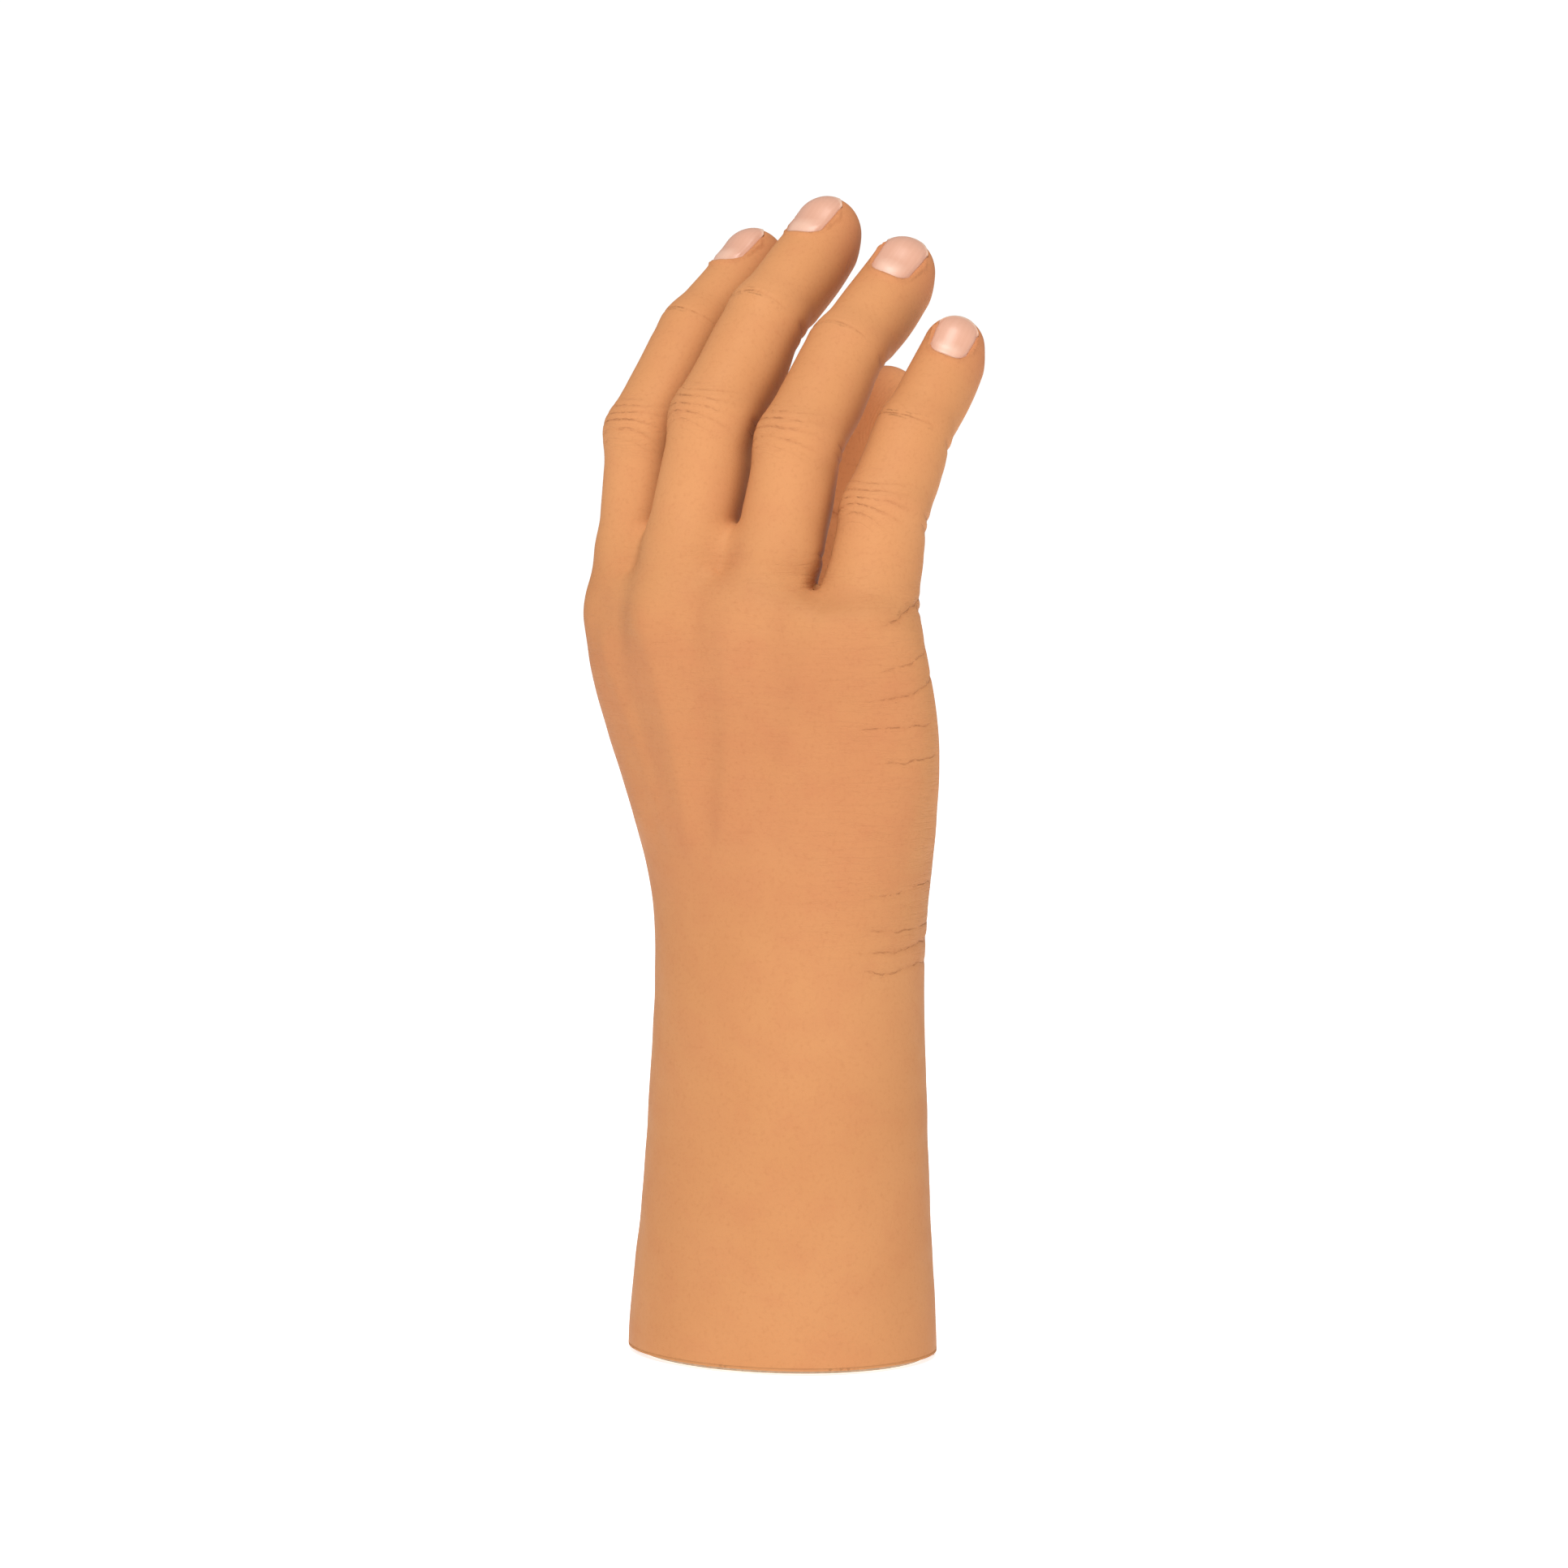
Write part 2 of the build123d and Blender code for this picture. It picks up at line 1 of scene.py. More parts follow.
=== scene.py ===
import json
import math

import bmesh
import bpy
import numpy as np
import openvdb
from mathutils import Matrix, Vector


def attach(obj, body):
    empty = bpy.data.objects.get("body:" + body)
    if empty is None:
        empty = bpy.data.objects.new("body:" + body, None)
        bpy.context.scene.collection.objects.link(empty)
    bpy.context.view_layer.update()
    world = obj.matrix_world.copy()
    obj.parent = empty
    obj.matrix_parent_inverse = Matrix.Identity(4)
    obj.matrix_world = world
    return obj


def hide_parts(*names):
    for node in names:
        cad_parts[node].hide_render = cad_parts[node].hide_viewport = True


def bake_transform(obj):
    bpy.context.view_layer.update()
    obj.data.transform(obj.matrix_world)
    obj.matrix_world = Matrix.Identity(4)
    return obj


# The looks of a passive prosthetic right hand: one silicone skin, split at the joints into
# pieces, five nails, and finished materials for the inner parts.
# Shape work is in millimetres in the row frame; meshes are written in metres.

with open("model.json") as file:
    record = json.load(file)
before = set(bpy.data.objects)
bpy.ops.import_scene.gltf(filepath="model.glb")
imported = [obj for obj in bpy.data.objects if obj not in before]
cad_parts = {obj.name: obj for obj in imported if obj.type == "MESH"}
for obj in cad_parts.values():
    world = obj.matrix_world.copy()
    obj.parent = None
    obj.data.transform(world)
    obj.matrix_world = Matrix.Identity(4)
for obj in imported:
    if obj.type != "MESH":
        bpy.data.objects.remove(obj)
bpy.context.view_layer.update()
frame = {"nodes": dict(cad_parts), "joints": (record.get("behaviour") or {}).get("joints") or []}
MM = 1000.0

# -------- camera
CAMERA_AZIMUTH = math.radians(40.0)
CAMERA_ELEVATION = math.radians(5.0)
CAMERA_DISTANCE = 1.5
CAMERA_TARGET = Vector((0.0, 0.0, 0.127))
CAMERA_LENS = 155.1

back = Vector((
    math.sin(CAMERA_AZIMUTH) * math.cos(CAMERA_ELEVATION),
    -math.cos(CAMERA_AZIMUTH) * math.cos(CAMERA_ELEVATION),
    math.sin(CAMERA_ELEVATION),
))
camera = bpy.data.objects.new("camera", bpy.data.cameras.new("camera"))
bpy.context.scene.collection.objects.link(camera)
camera.data.lens = CAMERA_LENS
camera.data.sensor_width = 36.0
camera.data.clip_end = 60.0
camera.location = CAMERA_TARGET + back * CAMERA_DISTANCE
camera.rotation_mode = "QUATERNION"
camera.rotation_quaternion = (-back).to_track_quat("-Z", "Y")
bpy.context.scene.camera = camera


# -------- small maths
def unit(v):
    v = np.asarray(v, float)
    return v / np.linalg.norm(v)


def step(x, low, high):
    """Smooth rise from 0 at low to 1 at high."""
    t = np.clip((x - low) / (high - low), 0.0, 1.0)
    return t * t * (3.0 - 2.0 * t)


def hump(x, width):
    return np.exp(-((x / width) ** 2))


def smooth_min(a, b, k):
    h = np.clip(0.5 + 0.5 * (b - a) / k, 0.0, 1.0)
    return b + (a - b) * h - k * h * (1.0 - h)


def smooth_max(a, b, k):
    return -smooth_min(-a, -b, k)


def spline(x, knots, values):
    """A smooth curve through values given at rising knots."""
    knots = np.asarray(knots, float)
    values = np.asarray(values, float)
    slopes = np.gradient(values, knots)
    i = np.clip(np.searchsorted(knots, x) - 1, 0, len(knots) - 2)
    h = knots[i + 1] - knots[i]
    t = np.clip((x - knots[i]) / h, 0.0, 1.0)
    return (
        values[i] * (1 + 2 * t) * (1 - t) ** 2
        + values[i + 1] * t * t * (3 - 2 * t)
        + slopes[i] * h * t * (1 - t) ** 2
        - slopes[i + 1] * h * t * t * (1 - t)
    )


WAVES = np.random.default_rng(7).normal(size=(10, 4))
WAVE_PITCH = 2.2
WAVE_SHIFT = 5.0
WAVE_TOTAL = 4.0


def ripple(p, length):
    """Soft irregular values about -1 to 1, changing over the given length in mm."""
    total = 0.0
    for weights in WAVES:
        total = total + np.sin(p @ weights[:3] / length * WAVE_PITCH + weights[3] * WAVE_SHIFT)
    return total / WAVE_TOTAL


# -------- the limbs, from the joints
JOINTS = {
    j["name"]: (np.array(j["pos_m"]) * MM, unit(j["axis"])) for j in frame["joints"]
}


def turned(way, side, degrees):
    """A bone direction turned about the hinge, towards the palm."""
    palmar = np.cross(way, side)
    a = math.radians(degrees)
    return way * math.cos(a) + palmar * math.sin(a)


class Limb:
    """Joint centres, bone directions and flesh radii of one finger or the thumb."""

    def __init__(self, name, points, side, radii, nail_roll):
        self.name = name
        self.points = points
        self.ways = [unit(b - a) for a, b in zip(points[:-1], points[1:])]
        self.side = side
        self.radii = radii
        tip_way = self.ways[-1]
        palmar = np.cross(tip_way, side)
        roll = math.radians(nail_roll)
        self.nail_up = side * math.sin(roll) - palmar * math.cos(roll)
        self.nail_side = side * math.cos(roll) + palmar * math.sin(roll)

    def palmar(self, bone):
        return np.cross(self.ways[bone], self.side)


# name: flesh below the base hinge, bends of the two outer bones from the first, their lengths,
# radii at the base, middle and last joints and at the tip, and the nail's roll towards the side
FINGER_FORMS = {
    "index": (13.0, (28.8, 42.0), (27.3, 24.6), (8.4, 8.9, 8.2, 7.4), -6.0),
    "middle": (15.0, (21.2, 31.6), (28.5, 28.0), (9.8, 9.5, 8.6, 7.7), 2.0),
    "ring": (15.5, (24.0, 34.0), (26.4, 26.2), (9.7, 9.3, 8.3, 7.6), 26.0),
    "little": (12.0, (14.1, 21.5), (19.9, 23.7), (10.6, 9.2, 8.0, 6.9), 31.0),
}
FINGERS = tuple(FINGER_FORMS)
ROOT_SLIM = 0.95
LIMBS = {}
for name, (root, bends, outer, radii, roll) in FINGER_FORMS.items():
    base, axis = JOINTS[name + "_knuckle"]
    middle, _ = JOINTS[name + "_middle"]
    first = unit(middle - base)
    second = turned(first, -axis, bends[0])
    third = turned(first, -axis, bends[1])
    last = middle + second * outer[0]
    points = [base - first * root, base, middle, last, last + third * outer[1]]
    LIMBS[name] = Limb(name, points, -axis, (radii[0] * ROOT_SLIM, *radii), roll)

THUMB_ROOT, _ = JOINTS["thumb_swivel"]
THUMB_HINGE, THUMB_AXIS = JOINTS["thumb_tip_hinge"]
THUMB_FIRST = unit((-10.0, 25.5, 42.5)) * 50.5
THUMB_MIDDLE = THUMB_ROOT + THUMB_FIRST
THUMB_TIP_BEND = 15.0
THUMB_TIP_LENGTH = 28.0
THUMB_RADII = (13.5, 14.6, 11.6, 10.4, 8.8)
thumb_last = turned(unit(THUMB_HINGE - THUMB_MIDDLE), THUMB_AXIS, THUMB_TIP_BEND)
thumb_points = [
    THUMB_ROOT,
    THUMB_ROOT + THUMB_FIRST * 0.5,
    THUMB_MIDDLE,
    THUMB_HINGE,
    THUMB_HINGE + thumb_last * THUMB_TIP_LENGTH,
]
LIMBS["thumb"] = Limb("thumb", thumb_points, THUMB_AXIS, THUMB_RADII, 0.0)

# -------- the form of the skin
# height, centre x, centre y, half width, half depth, turn in degrees
TRUNK = np.array((
    (-8, -0.5, 0.0, 36.0, 31.0, 0),
    (0, -0.5, 0.0, 36.0, 31.0, 0),
    (14, -0.3, 0.0, 35.2, 30.5, 0),
    (31, 0.2, 0.2, 33.8, 29.2, 0),
    (48, 0.5, 0.4, 32.8, 28.2, 0),
    (66, 0.8, 0.5, 32.1, 27.3, 0),
    (84, 1.0, 0.6, 31.7, 26.3, 0),
    (102, 1.2, 0.2, 33.1, 24.8, 2),
    (120, 1.0, -2.0, 37.0, 22.5, 6),
    (138, 0.5, -5.0, 40.5, 19.5, 10),
    (155, 0.0, -9.5, 41.0, 18.0, 12),
    (168, -1.5, -12.0, 38.5, 15.5, 11),
    (178, -2.5, -12.5, 34.0, 12.0, 10),
    (190, -2.5, -12.5, 30.0, 10.0, 10),
))
TRUNK_ROUNDNESS = 2.08
# where the hand ends at the finger roots: heights across x, fall towards the palm, rounding
TRUNK_END_X = (-45, -31, -13, 6, 24, 45)
TRUNK_END_Z = (173.0, 174.5, 176.0, 174.0, 168.5, 169.0)
TRUNK_END_SLOPE = 0.25
TRUNK_END_DORSAL_Y = -12.0
TRUNK_END_ROUNDING = 6.0

# the long bones of the palm: their lower ends and radius there, deep under the back of the hand
PALM_BONES = {
    "index": ((-20.0, -14.0, 122.0), 7.0),
    "middle": ((-8.0, -16.5, 120.0), 7.0),
    "ring": ((5.0, -15.5, 120.0), 7.0),
    "little": ((18.0, -11.5, 118.0), 7.5),
}
PALM_BONE_WAIST = 0.4
PALM_BONE_BLEND = 5.0
FINGER_BLEND = 5.0
FINGER_PAIR_BLEND = 0.8
THENAR_BLEND = 9.0

# each limb has four bones: how full the middle of each is, and how the next one runs into it
BONE_FULLNESS = (1.01, 1.0, 1.0, 1.01)
BONE_BLENDS = (1.0, 3.0, 3.0, 3.0)

# the soft pads on the palm side of the three outer bones: ends along the bone, distance out
PAD_START = 0.32
PAD_ENDS = (0.68, 0.68, 0.68, 0.88)
PAD_OUT = (0.0, 1.8, 1.9, 2.4)
PAD_SLIM = (0.0, 0.4, 0.4, 0.3)
PAD_TAPER = 0.3
PAD_BLEND = 1.6

# the flesh under the nail, in tip radii
TIP_FORWARD, TIP_UP, TIP_SIZE, TIP_BLEND = 0.16, 0.16, 0.82, 1.5

# the middle joint of a finger: back, sides, and the straight back of the bone beyond it
KNOB_OUT, KNOB_SLIM, KNOB_BLEND = 0.5, 0.6, 1.0
BACK_OUT, BACK_SLIM, BACK_BLEND = 0.3, 0.2, 1.5
SIDE_OUT, SIDE_SLIM, SIDE_BLEND = 1.2, 1.1, 2.0

# webs between the fingers: how far above the base hinges, thickness, and the slit above them
WEBS = (("index", "middle", 5.4), ("middle", "ring", 6.2), ("ring", "little", -3.4))
WEB_THICK = 6.3
WEB_BLEND = 3.0
SLIT_HALF = 0.55
SLIT_REACH = 8.0
SLIT_END_BLEND = 2.0
SLIT_EDGE_BLEND = 1.6

# the web of skin between thumb and index finger
THUMB_WEB_LOW = np.array((-24.0, 2.0, 118.0))
THUMB_WEB_HIGH = np.array((-33.0, 12.0, 142.0))
THUMB_WEB_RADII = (10.0, 9.0, 5.5)
THUMB_WEB_BLEND = 8.0

# forms are worked out only this close to them, and count as this far away elsewhere
REACH = 20.0
WEB_REACH = 16.0
THUMB_WEB_REACH = 24.0
FAR = 40.0


def bone(p, a, b, radii):
    """Distance to a round bar from a to b, with radii at its start, middle and end."""
    along = b - a
    t = np.clip((p - a) @ along / (along @ along), 0.0, 1.0)
    start, middle, end = radii
    radius = (
        start * (2 * t - 1) * (t - 1) + middle * 4 * t * (1 - t) + end * t * (2 * t - 1)
    )
    return np.linalg.norm(p - a - t[:, None] * along, axis=1) - radius


def near(p, points, reach):
    """Which places lie within reach of the box round some points."""
    low = np.min(points, axis=0) - reach
    high = np.max(points, axis=0) + reach
    return np.all((p > low) & (p < high), axis=1)


def joined(total, p, points, reach, distance, k):
    """Adds one form to a distance field, worked out only close to it."""
    close = near(p, points, reach)
    if close.any():
        total[close] = smooth_min(total[close], distance(p[close]), k)


def trunk_distance(p):
    x, y, z = p.T
    rows = [spline(z, TRUNK[:, 0], TRUNK[:, i]) for i in range(1, 6)]
    centre_x, centre_y, half_x, half_y, turn = rows
    c, s = np.cos(np.radians(turn)), np.sin(np.radians(turn))
    u = ((x - centre_x) * c + (y - centre_y) * s) / half_x
    v = (-(x - centre_x) * s + (y - centre_y) * c) / half_y
    n = TRUNK_ROUNDNESS
    au, av = np.abs(u) + 1e-6, np.abs(v) + 1e-6
    total = au**n + av**n
    size = total ** (1 / n)
    slope = total ** (1 / n - 1) * np.hypot(au ** (n - 1) / half_x, av ** (n - 1) / half_y)
    wall = (size - 1.0) / np.maximum(slope, 1e-4)
    end = np.interp(x, TRUNK_END_X, TRUNK_END_Z) - TRUNK_END_SLOPE * np.maximum(
        y - TRUNK_END_DORSAL_Y, 0
    )
    return smooth_max(wall, z - end, TRUNK_END_ROUNDING)


def limb_distance(p, limb):
    total = np.full(len(p), FAR)
    pts, radii = limb.points, limb.radii

    def add(a, b, sizes, k):
        joined(total, p, (a, b), REACH, lambda q: bone(q, a, b, sizes), k)

    for i in range(4):
        ra, rb = radii[i], radii[i + 1]
        add(pts[i], pts[i + 1], (ra, (ra + rb) / 2 * BONE_FULLNESS[i], rb), BONE_BLENDS[i])
    for i in range(1, 4):
        a, b = pts[i], pts[i + 1]
        out = limb.palmar(i) * PAD_OUT[i]
        belly = (radii[i] + radii[i + 1]) / 2 - PAD_SLIM[i]
        sizes = (belly - PAD_TAPER, belly, belly - PAD_TAPER)
        add(a + (b - a) * PAD_START + out, a + (b - a) * PAD_ENDS[i] + out, sizes, PAD_BLEND)
    tip = pts[4] + (limb.ways[3] * TIP_FORWARD + limb.nail_up * TIP_UP) * radii[4]
    size = radii[4] * TIP_SIZE
    joined(total, p, (tip,), REACH, lambda q: np.linalg.norm(q - tip, axis=1) - size, TIP_BLEND)
    if limb is not LIMBS["thumb"]:
        knob = pts[2] - unit(limb.palmar(1) + limb.palmar(2)) * KNOB_OUT
        wide = radii[2] - KNOB_SLIM
        joined(
            total, p, (knob,), REACH, lambda q: np.linalg.norm(q - knob, axis=1) - wide, KNOB_BLEND
        )
        lift = limb.palmar(2) * BACK_OUT
        full = (radii[2] + radii[3]) / 2 - BACK_SLIM
        add(
            pts[2] * 0.75 + pts[3] * 0.25 - lift,
            pts[2] * 0.25 + pts[3] * 0.75 - lift,
            (full, full, full),
            BACK_BLEND,
        )
        wide = radii[2] - SIDE_SLIM
        out = limb.side * SIDE_OUT
        add(pts[2] - out, pts[2] + out, (wide, wide, wide), SIDE_BLEND)
    return total


def skin_distance(p):
    """Distance from the skin, below nought inside the flesh."""
    p = np.asarray(p, float)
    total = trunk_distance(p)

    def add(a, b, sizes, reach, k):
        joined(total, p, (a, b), reach, lambda q: bone(q, a, b, sizes), k)

    for name, (low, radius) in PALM_BONES.items():
        top, r = LIMBS[name].points[0], LIMBS[name].radii[0]
        waist = (radius + r) / 2 - PALM_BONE_WAIST
        add(np.array(low), top, (radius, waist, r), REACH, PALM_BONE_BLEND)
    limbs = {name: limb_distance(p, limb) for name, limb in LIMBS.items()}
    fingers = np.full(len(p), FAR)
    for name in FINGERS:
        fingers = smooth_min(fingers, limbs[name], FINGER_PAIR_BLEND)
    total = smooth_min(total, fingers, FINGER_BLEND)
    for first, second, lift in WEBS:
        one, two = LIMBS[first], LIMBS[second]
        way = unit(one.ways[1] + two.ways[1])
        web = (one.points[1] + two.points[1]) / 2 + way * lift
        if lift > 0:
            up = way * (lift - WEB_THICK)
            add(one.points[1] + up, two.points[1] + up, (WEB_THICK,) * 3, WEB_REACH, WEB_BLEND)
        apart = np.abs(limbs[first] - limbs[second]) / 2 - SLIT_HALF
        apart = np.maximum(apart, np.minimum(limbs[first], limbs[second]) - SLIT_REACH)
        slit = smooth_max(apart, -(p - web) @ way, SLIT_END_BLEND)
        total = smooth_max(total, -slit, SLIT_EDGE_BLEND)
    total = smooth_min(total, limbs["thumb"], THENAR_BLEND)
    add(THUMB_WEB_LOW, THUMB_WEB_HIGH, THUMB_WEB_RADII, THUMB_WEB_REACH, THUMB_WEB_BLEND)
    return total


# -------- meshing
VOXEL = 1.15
SLOPE_STEP = 0.35
SHELL = 3.0  # distances further than this from the skin are cut off
GRID_LOW = np.array((-56.0, -40.0, -4.0))
GRID_HIGH = np.array((52.0, 72.0, 264.0))
HEM = 0.6


def gradient(p):
    g = np.empty_like(p)
    for axis in range(3):
        off = np.zeros(3)
        off[axis] = SLOPE_STEP
        g[:, axis] = skin_distance(p + off) - skin_distance(p - off)
    return g / np.maximum(np.linalg.norm(g, axis=1, keepdims=True), 1e-9)


def settle(p, rounds=1):
    """Moves points onto the skin."""
    for _ in range(rounds):
        p = p - gradient(p) * np.clip(skin_distance(p), -1.0, 1.0)[:, None]
    return p


def skin_quads():
    """The skin as points and quads, from a distance grid."""
    counts = np.ceil((GRID_HIGH - GRID_LOW) / VOXEL).astype(int) + 1
    axes = [GRID_LOW[i] + np.arange(counts[i]) * VOXEL for i in range(3)]
    values = np.empty(counts, np.float32)
    for i, x in enumerate(axes[0]):
        yy, zz = np.meshgrid(axes[1], axes[2], indexing="ij")
        p = np.column_stack((np.full(yy.size, x), yy.ravel(), zz.ravel()))
        values[i] = skin_distance(p).reshape(yy.shape)
    grid = openvdb.FloatGrid(SHELL)
    grid.copyFromArray(np.clip(values, -SHELL, SHELL))
    points, _, quads = grid.convertToPolygons(isovalue=0.0, adaptivity=0.0)
    return points * VOXEL + GRID_LOW, quads.astype(np.int64)


def relaxed(p, quads, share):
    """Evens out the spacing of the points."""
    total = np.zeros_like(p)
    count = np.zeros(len(p))
    for i in range(4):
        a, b = quads[:, i], quads[:, (i + 1) % 4]
        for q, r in ((a, b), (b, a)):
            np.add.at(total, q, p[r])
            np.add.at(count, q, 1)
    return p + (total / np.maximum(count, 1)[:, None] - p) * share


def subdivided(p, quads):
    """Splits each quad in four."""
    edges = np.sort(np.stack([quads, np.roll(quads, -1, axis=1)], axis=2).reshape(-1, 2), axis=1)
    unique, inverse = np.unique(edges, axis=0, return_inverse=True)
    inverse = inverse.reshape(-1, 4) + len(p)
    centre = np.arange(len(quads)) + len(p) + len(unique)
    points = np.vstack((p, p[unique].mean(axis=1), p[quads].mean(axis=1)))
    parts = [
        np.column_stack((quads[:, i], inverse[:, i], centre, inverse[:, i - 1]))
        for i in range(4)
    ]
    return points, np.concatenate(parts)


def compacted(p, quads):
    used, packed = np.unique(quads, return_inverse=True)
    return p[used], packed.reshape(quads.shape), used


def point_normals(p, quads):
    a = p[quads[:, 2]] - p[quads[:, 0]]
    b = p[quads[:, 3]] - p[quads[:, 1]]
    face = np.cross(a, b)
    total = np.zeros_like(p)
    for i in range(4):
        np.add.at(total, quads[:, i], face)
    return total / np.maximum(np.linalg.norm(total, axis=1, keepdims=True), 1e-12)


points, quads = skin_quads()
points = settle(relaxed(points, quads, 0.5), 2)
points = settle(relaxed(points, quads, 0.5), 1)
quads = quads[(points[quads][:, :, 2] > HEM).any(axis=1)]
points, quads, _ = compacted(points, quads)
points[:, 2] = np.maximum(points[:, 2], HEM)
normals = point_normals(points, quads)
if (gradient(points[:200]) * normals[:200]).sum() < 0:
    quads = quads[:, ::-1]
points, quads = subdivided(points, quads)
above = points[:, 2] > HEM + 0.01
points[above] = settle(points[above], 1)
points[:, 2] = np.maximum(points[:, 2], HEM)

# -------- relief
# height is the relief along the skin's normal, in mm. The rest drive the skin's material: line
# is how deep in a crease a point is and how much shade is painted into it, flush how pink, pale
# how light, fine how finely folded.
# fold and print phases count fine lines, and their masks say how strongly they show; the fold
# lines are painted darker, as shade in their grooves.
smooth_normals = point_normals(points, quads)
height = np.zeros(len(points))
line = np.zeros(len(points))
flush = np.zeros(len(points))
pale = 0.4 * step(smooth_normals[:, 1], 0.15, 0.6) * step(points[:, 2], 104.0, 130.0)
fine = np.zeros(len(points))
fold_phase = np.zeros(len(points))
fold_mask = np.zeros(len(points))
print_phase = np.zeros(len(points))
print_mask = np.zeros(len(points))

ON_LIMB = 2.5
limb_names = list(LIMBS)
limb_fields = np.stack([limb_distance(points, LIMBS[n]) for n in limb_names], axis=1)
nearest = limb_fields.argmin(axis=1)
on_limb = limb_fields.min(axis=1) < ON_LIMB
wobble = ripple(points, 9.0)
wobble_fine = ripple(points[:, [2, 0, 1]], 3.5)
FOLD_GAP = 1.9


def draw(where, phase, share):
    """Fine lines for the material, painted darker as shade and bumped in, at whole values of
    phase, FOLD_GAP apart.
    """
    stronger = share > fold_mask[where]
    chosen = where[stronger]
    fold_phase[chosen] = phase[stronger]
    fold_mask[chosen] = share[stronger]


# a crease this deep or deeper gets the full painted shade
FULL_LINE_DEPTH = 0.35


def cut(where, offset, width, depth, share, drawn=1.0):
    """A crease: offset is the distance from its line, share how strongly it shows."""
    amount = hump(offset, width) * share
    height[where] -= depth * amount
    # painted shade: the crease's colour darkened by its depth
    line[where] = np.maximum(line[where], amount * min(1.0, depth / FULL_LINE_DEPTH))
    if drawn:
        draw(where, offset / FOLD_GAP, drawn * share * (1 - step(np.abs(offset), 0.5, 1.0)))


# creases at a joint: offset along the bone, arc of the line, width, depth
KNUCKLE_LINES = (
    (-4.2, -0.034, 0.36, 0.10),
    (-2.2, -0.018, 0.40, 0.18),
    (-0.3, 0.002, 0.42, 0.22),
    (1.6, 0.018, 0.40, 0.18),
    (3.5, 0.034, 0.36, 0.10),
)
KNUCKLE_LINES_REACH = 5.0
KNUCKLE_SWELL = 0.15
FOLD_ARC = 0.0085
LAST_LINES = ((-1.3, -0.010, 0.32, 0.05), (0.2, 0.0, 0.36, 0.17), (1.8, 0.012, 0.32, 0.05))
PALM_SIDE_LINES = {
    2: ((-1.4, 0.0, 0.8, 0.30), (1.0, 0.0, 0.85, 0.45)),
    3: ((0.0, 0.0, 0.85, 0.50),),
}
ROOT_LINE, ROOT_LINE_WIDTH, ROOT_LINE_DEPTH = 1.4, 0.8, 0.45
# where the back and the palm side of a limb begin and are full, as shares of its radius
BACK_SIDE = (0.15, 0.6)
FRONT_SIDE = (-0.05, 0.45)


def joint_creases(limb, own, p, joint, knuckle):
    """Wrinkles at the back of a joint, all over a knuckle or one line, and creases in front."""
    way = unit(limb.ways[joint - 1] + limb.ways[joint])
    q = p - limb.points[joint]
    across = q @ limb.side
    along = q @ way
    up = q @ -np.cross(way, limb.side) / limb.radii[joint]
    stray = 0.45 * wobble[own] + 0.25 * wobble_fine[own]
    around = step(up, *BACK_SIDE)
    for i, (place, arc, width, depth) in enumerate(KNUCKLE_LINES if knuckle else LAST_LINES):
        broken = step(wobble_fine[own] + 0.5 * math.sin(i * 2.1), -0.9, 0.4)
        share = around * (0.35 + 0.65 * broken) * hump(along - place, KNUCKLE_LINES_REACH)
        cut(own, along - place - arc * across**2 - stray, width, depth, share, 0.0)
    level = (along - stray) / (1 + FOLD_ARC * across**2)
    if knuckle:
        draw(own, (level + 0.3) / FOLD_GAP, around * hump(along, 4.6) * hump(across, 7.5))
        height[own] += KNUCKLE_SWELL * hump(across, 6.5) * hump(along, 5.5) * around
        fine[own] = np.maximum(fine[own], hump(across, 7.5) * hump(along, 7.0) * around)
        flush[own] += 0.12 * hump(across, 7.0) * hump(along, 7.0) * around
    else:
        share = around * hump(across, 7.0) * (1 - step(np.abs(level - 0.2), 0.4, 1.0))
        draw(own, (level - 0.2) / FOLD_GAP, share)
    around = step(-up, *FRONT_SIDE)
    for place, arc, width, depth in PALM_SIDE_LINES[joint]:
        cut(own, along - place - 0.35 * stray, width, depth, around, 0.6)


def root_crease(limb, own, p):
    """A crease round the palm side of a finger's root."""
    q = p - limb.points[1]
    front = q @ limb.palmar(1) / limb.radii[1]
    offset = q @ limb.ways[1] - ROOT_LINE - 0.3 * wobble[own]
    cut(own, offset, ROOT_LINE_WIDTH, ROOT_LINE_DEPTH, step(front, 0.0, 0.5))


def limb_colour(name, limb, own, p):
    """A paler palm side, most of all on the thumb, and a redder tip."""
    facing = step(smooth_normals[own] @ limb.palmar(2), -0.1, 0.8)
    start, most = (2, 1.0) if name == "thumb" else (1, 0.5)
    beyond = step((p - limb.points[start]) @ limb.ways[start], -8.0, 14.0)
    pale[own] += (np.maximum(most * facing, 0.2) - pale[own]) * beyond
    q = p - limb.points[4]
    front = step(q @ limb.palmar(3) / limb.radii[4], -0.9, 0.5)
    flush[own] += (0.45 + 0.75 * front) * step(q @ limb.ways[3], -15.0, 3.0)


def fingerprint(limb, own, p):
    """Ridges in loops on the last pad."""
    centre = limb.points[4] + limb.palmar(3) * limb.radii[4] - limb.ways[3] * 2.0
    q = p - centre
    across = q @ limb.side
    along = q @ limb.ways[3]
    loop = 0.8 * along + 0.03 * across**2
    print_phase[own] = np.sqrt((1.25 * across) ** 2 + loop**2 + 0.4)
    front = (p - limb.points[4]) @ limb.palmar(3) / limb.radii[4]
    print_mask[own] = step(front, 0.1, 0.6) * step(along, -11.0, -7.0)


for index, name in enumerate(limb_names):
    limb = LIMBS[name]
    own = np.flatnonzero(on_limb & (nearest == index))
    for joint in (2, 3):
        joint_creases(limb, own, points[own], joint, joint == (3 if name == "thumb" else 2))
    if name != "thumb":
        root_crease(limb, own, points[own])
    limb_colour(name, limb, own, points[own])
    fingerprint(limb, own, points[own])

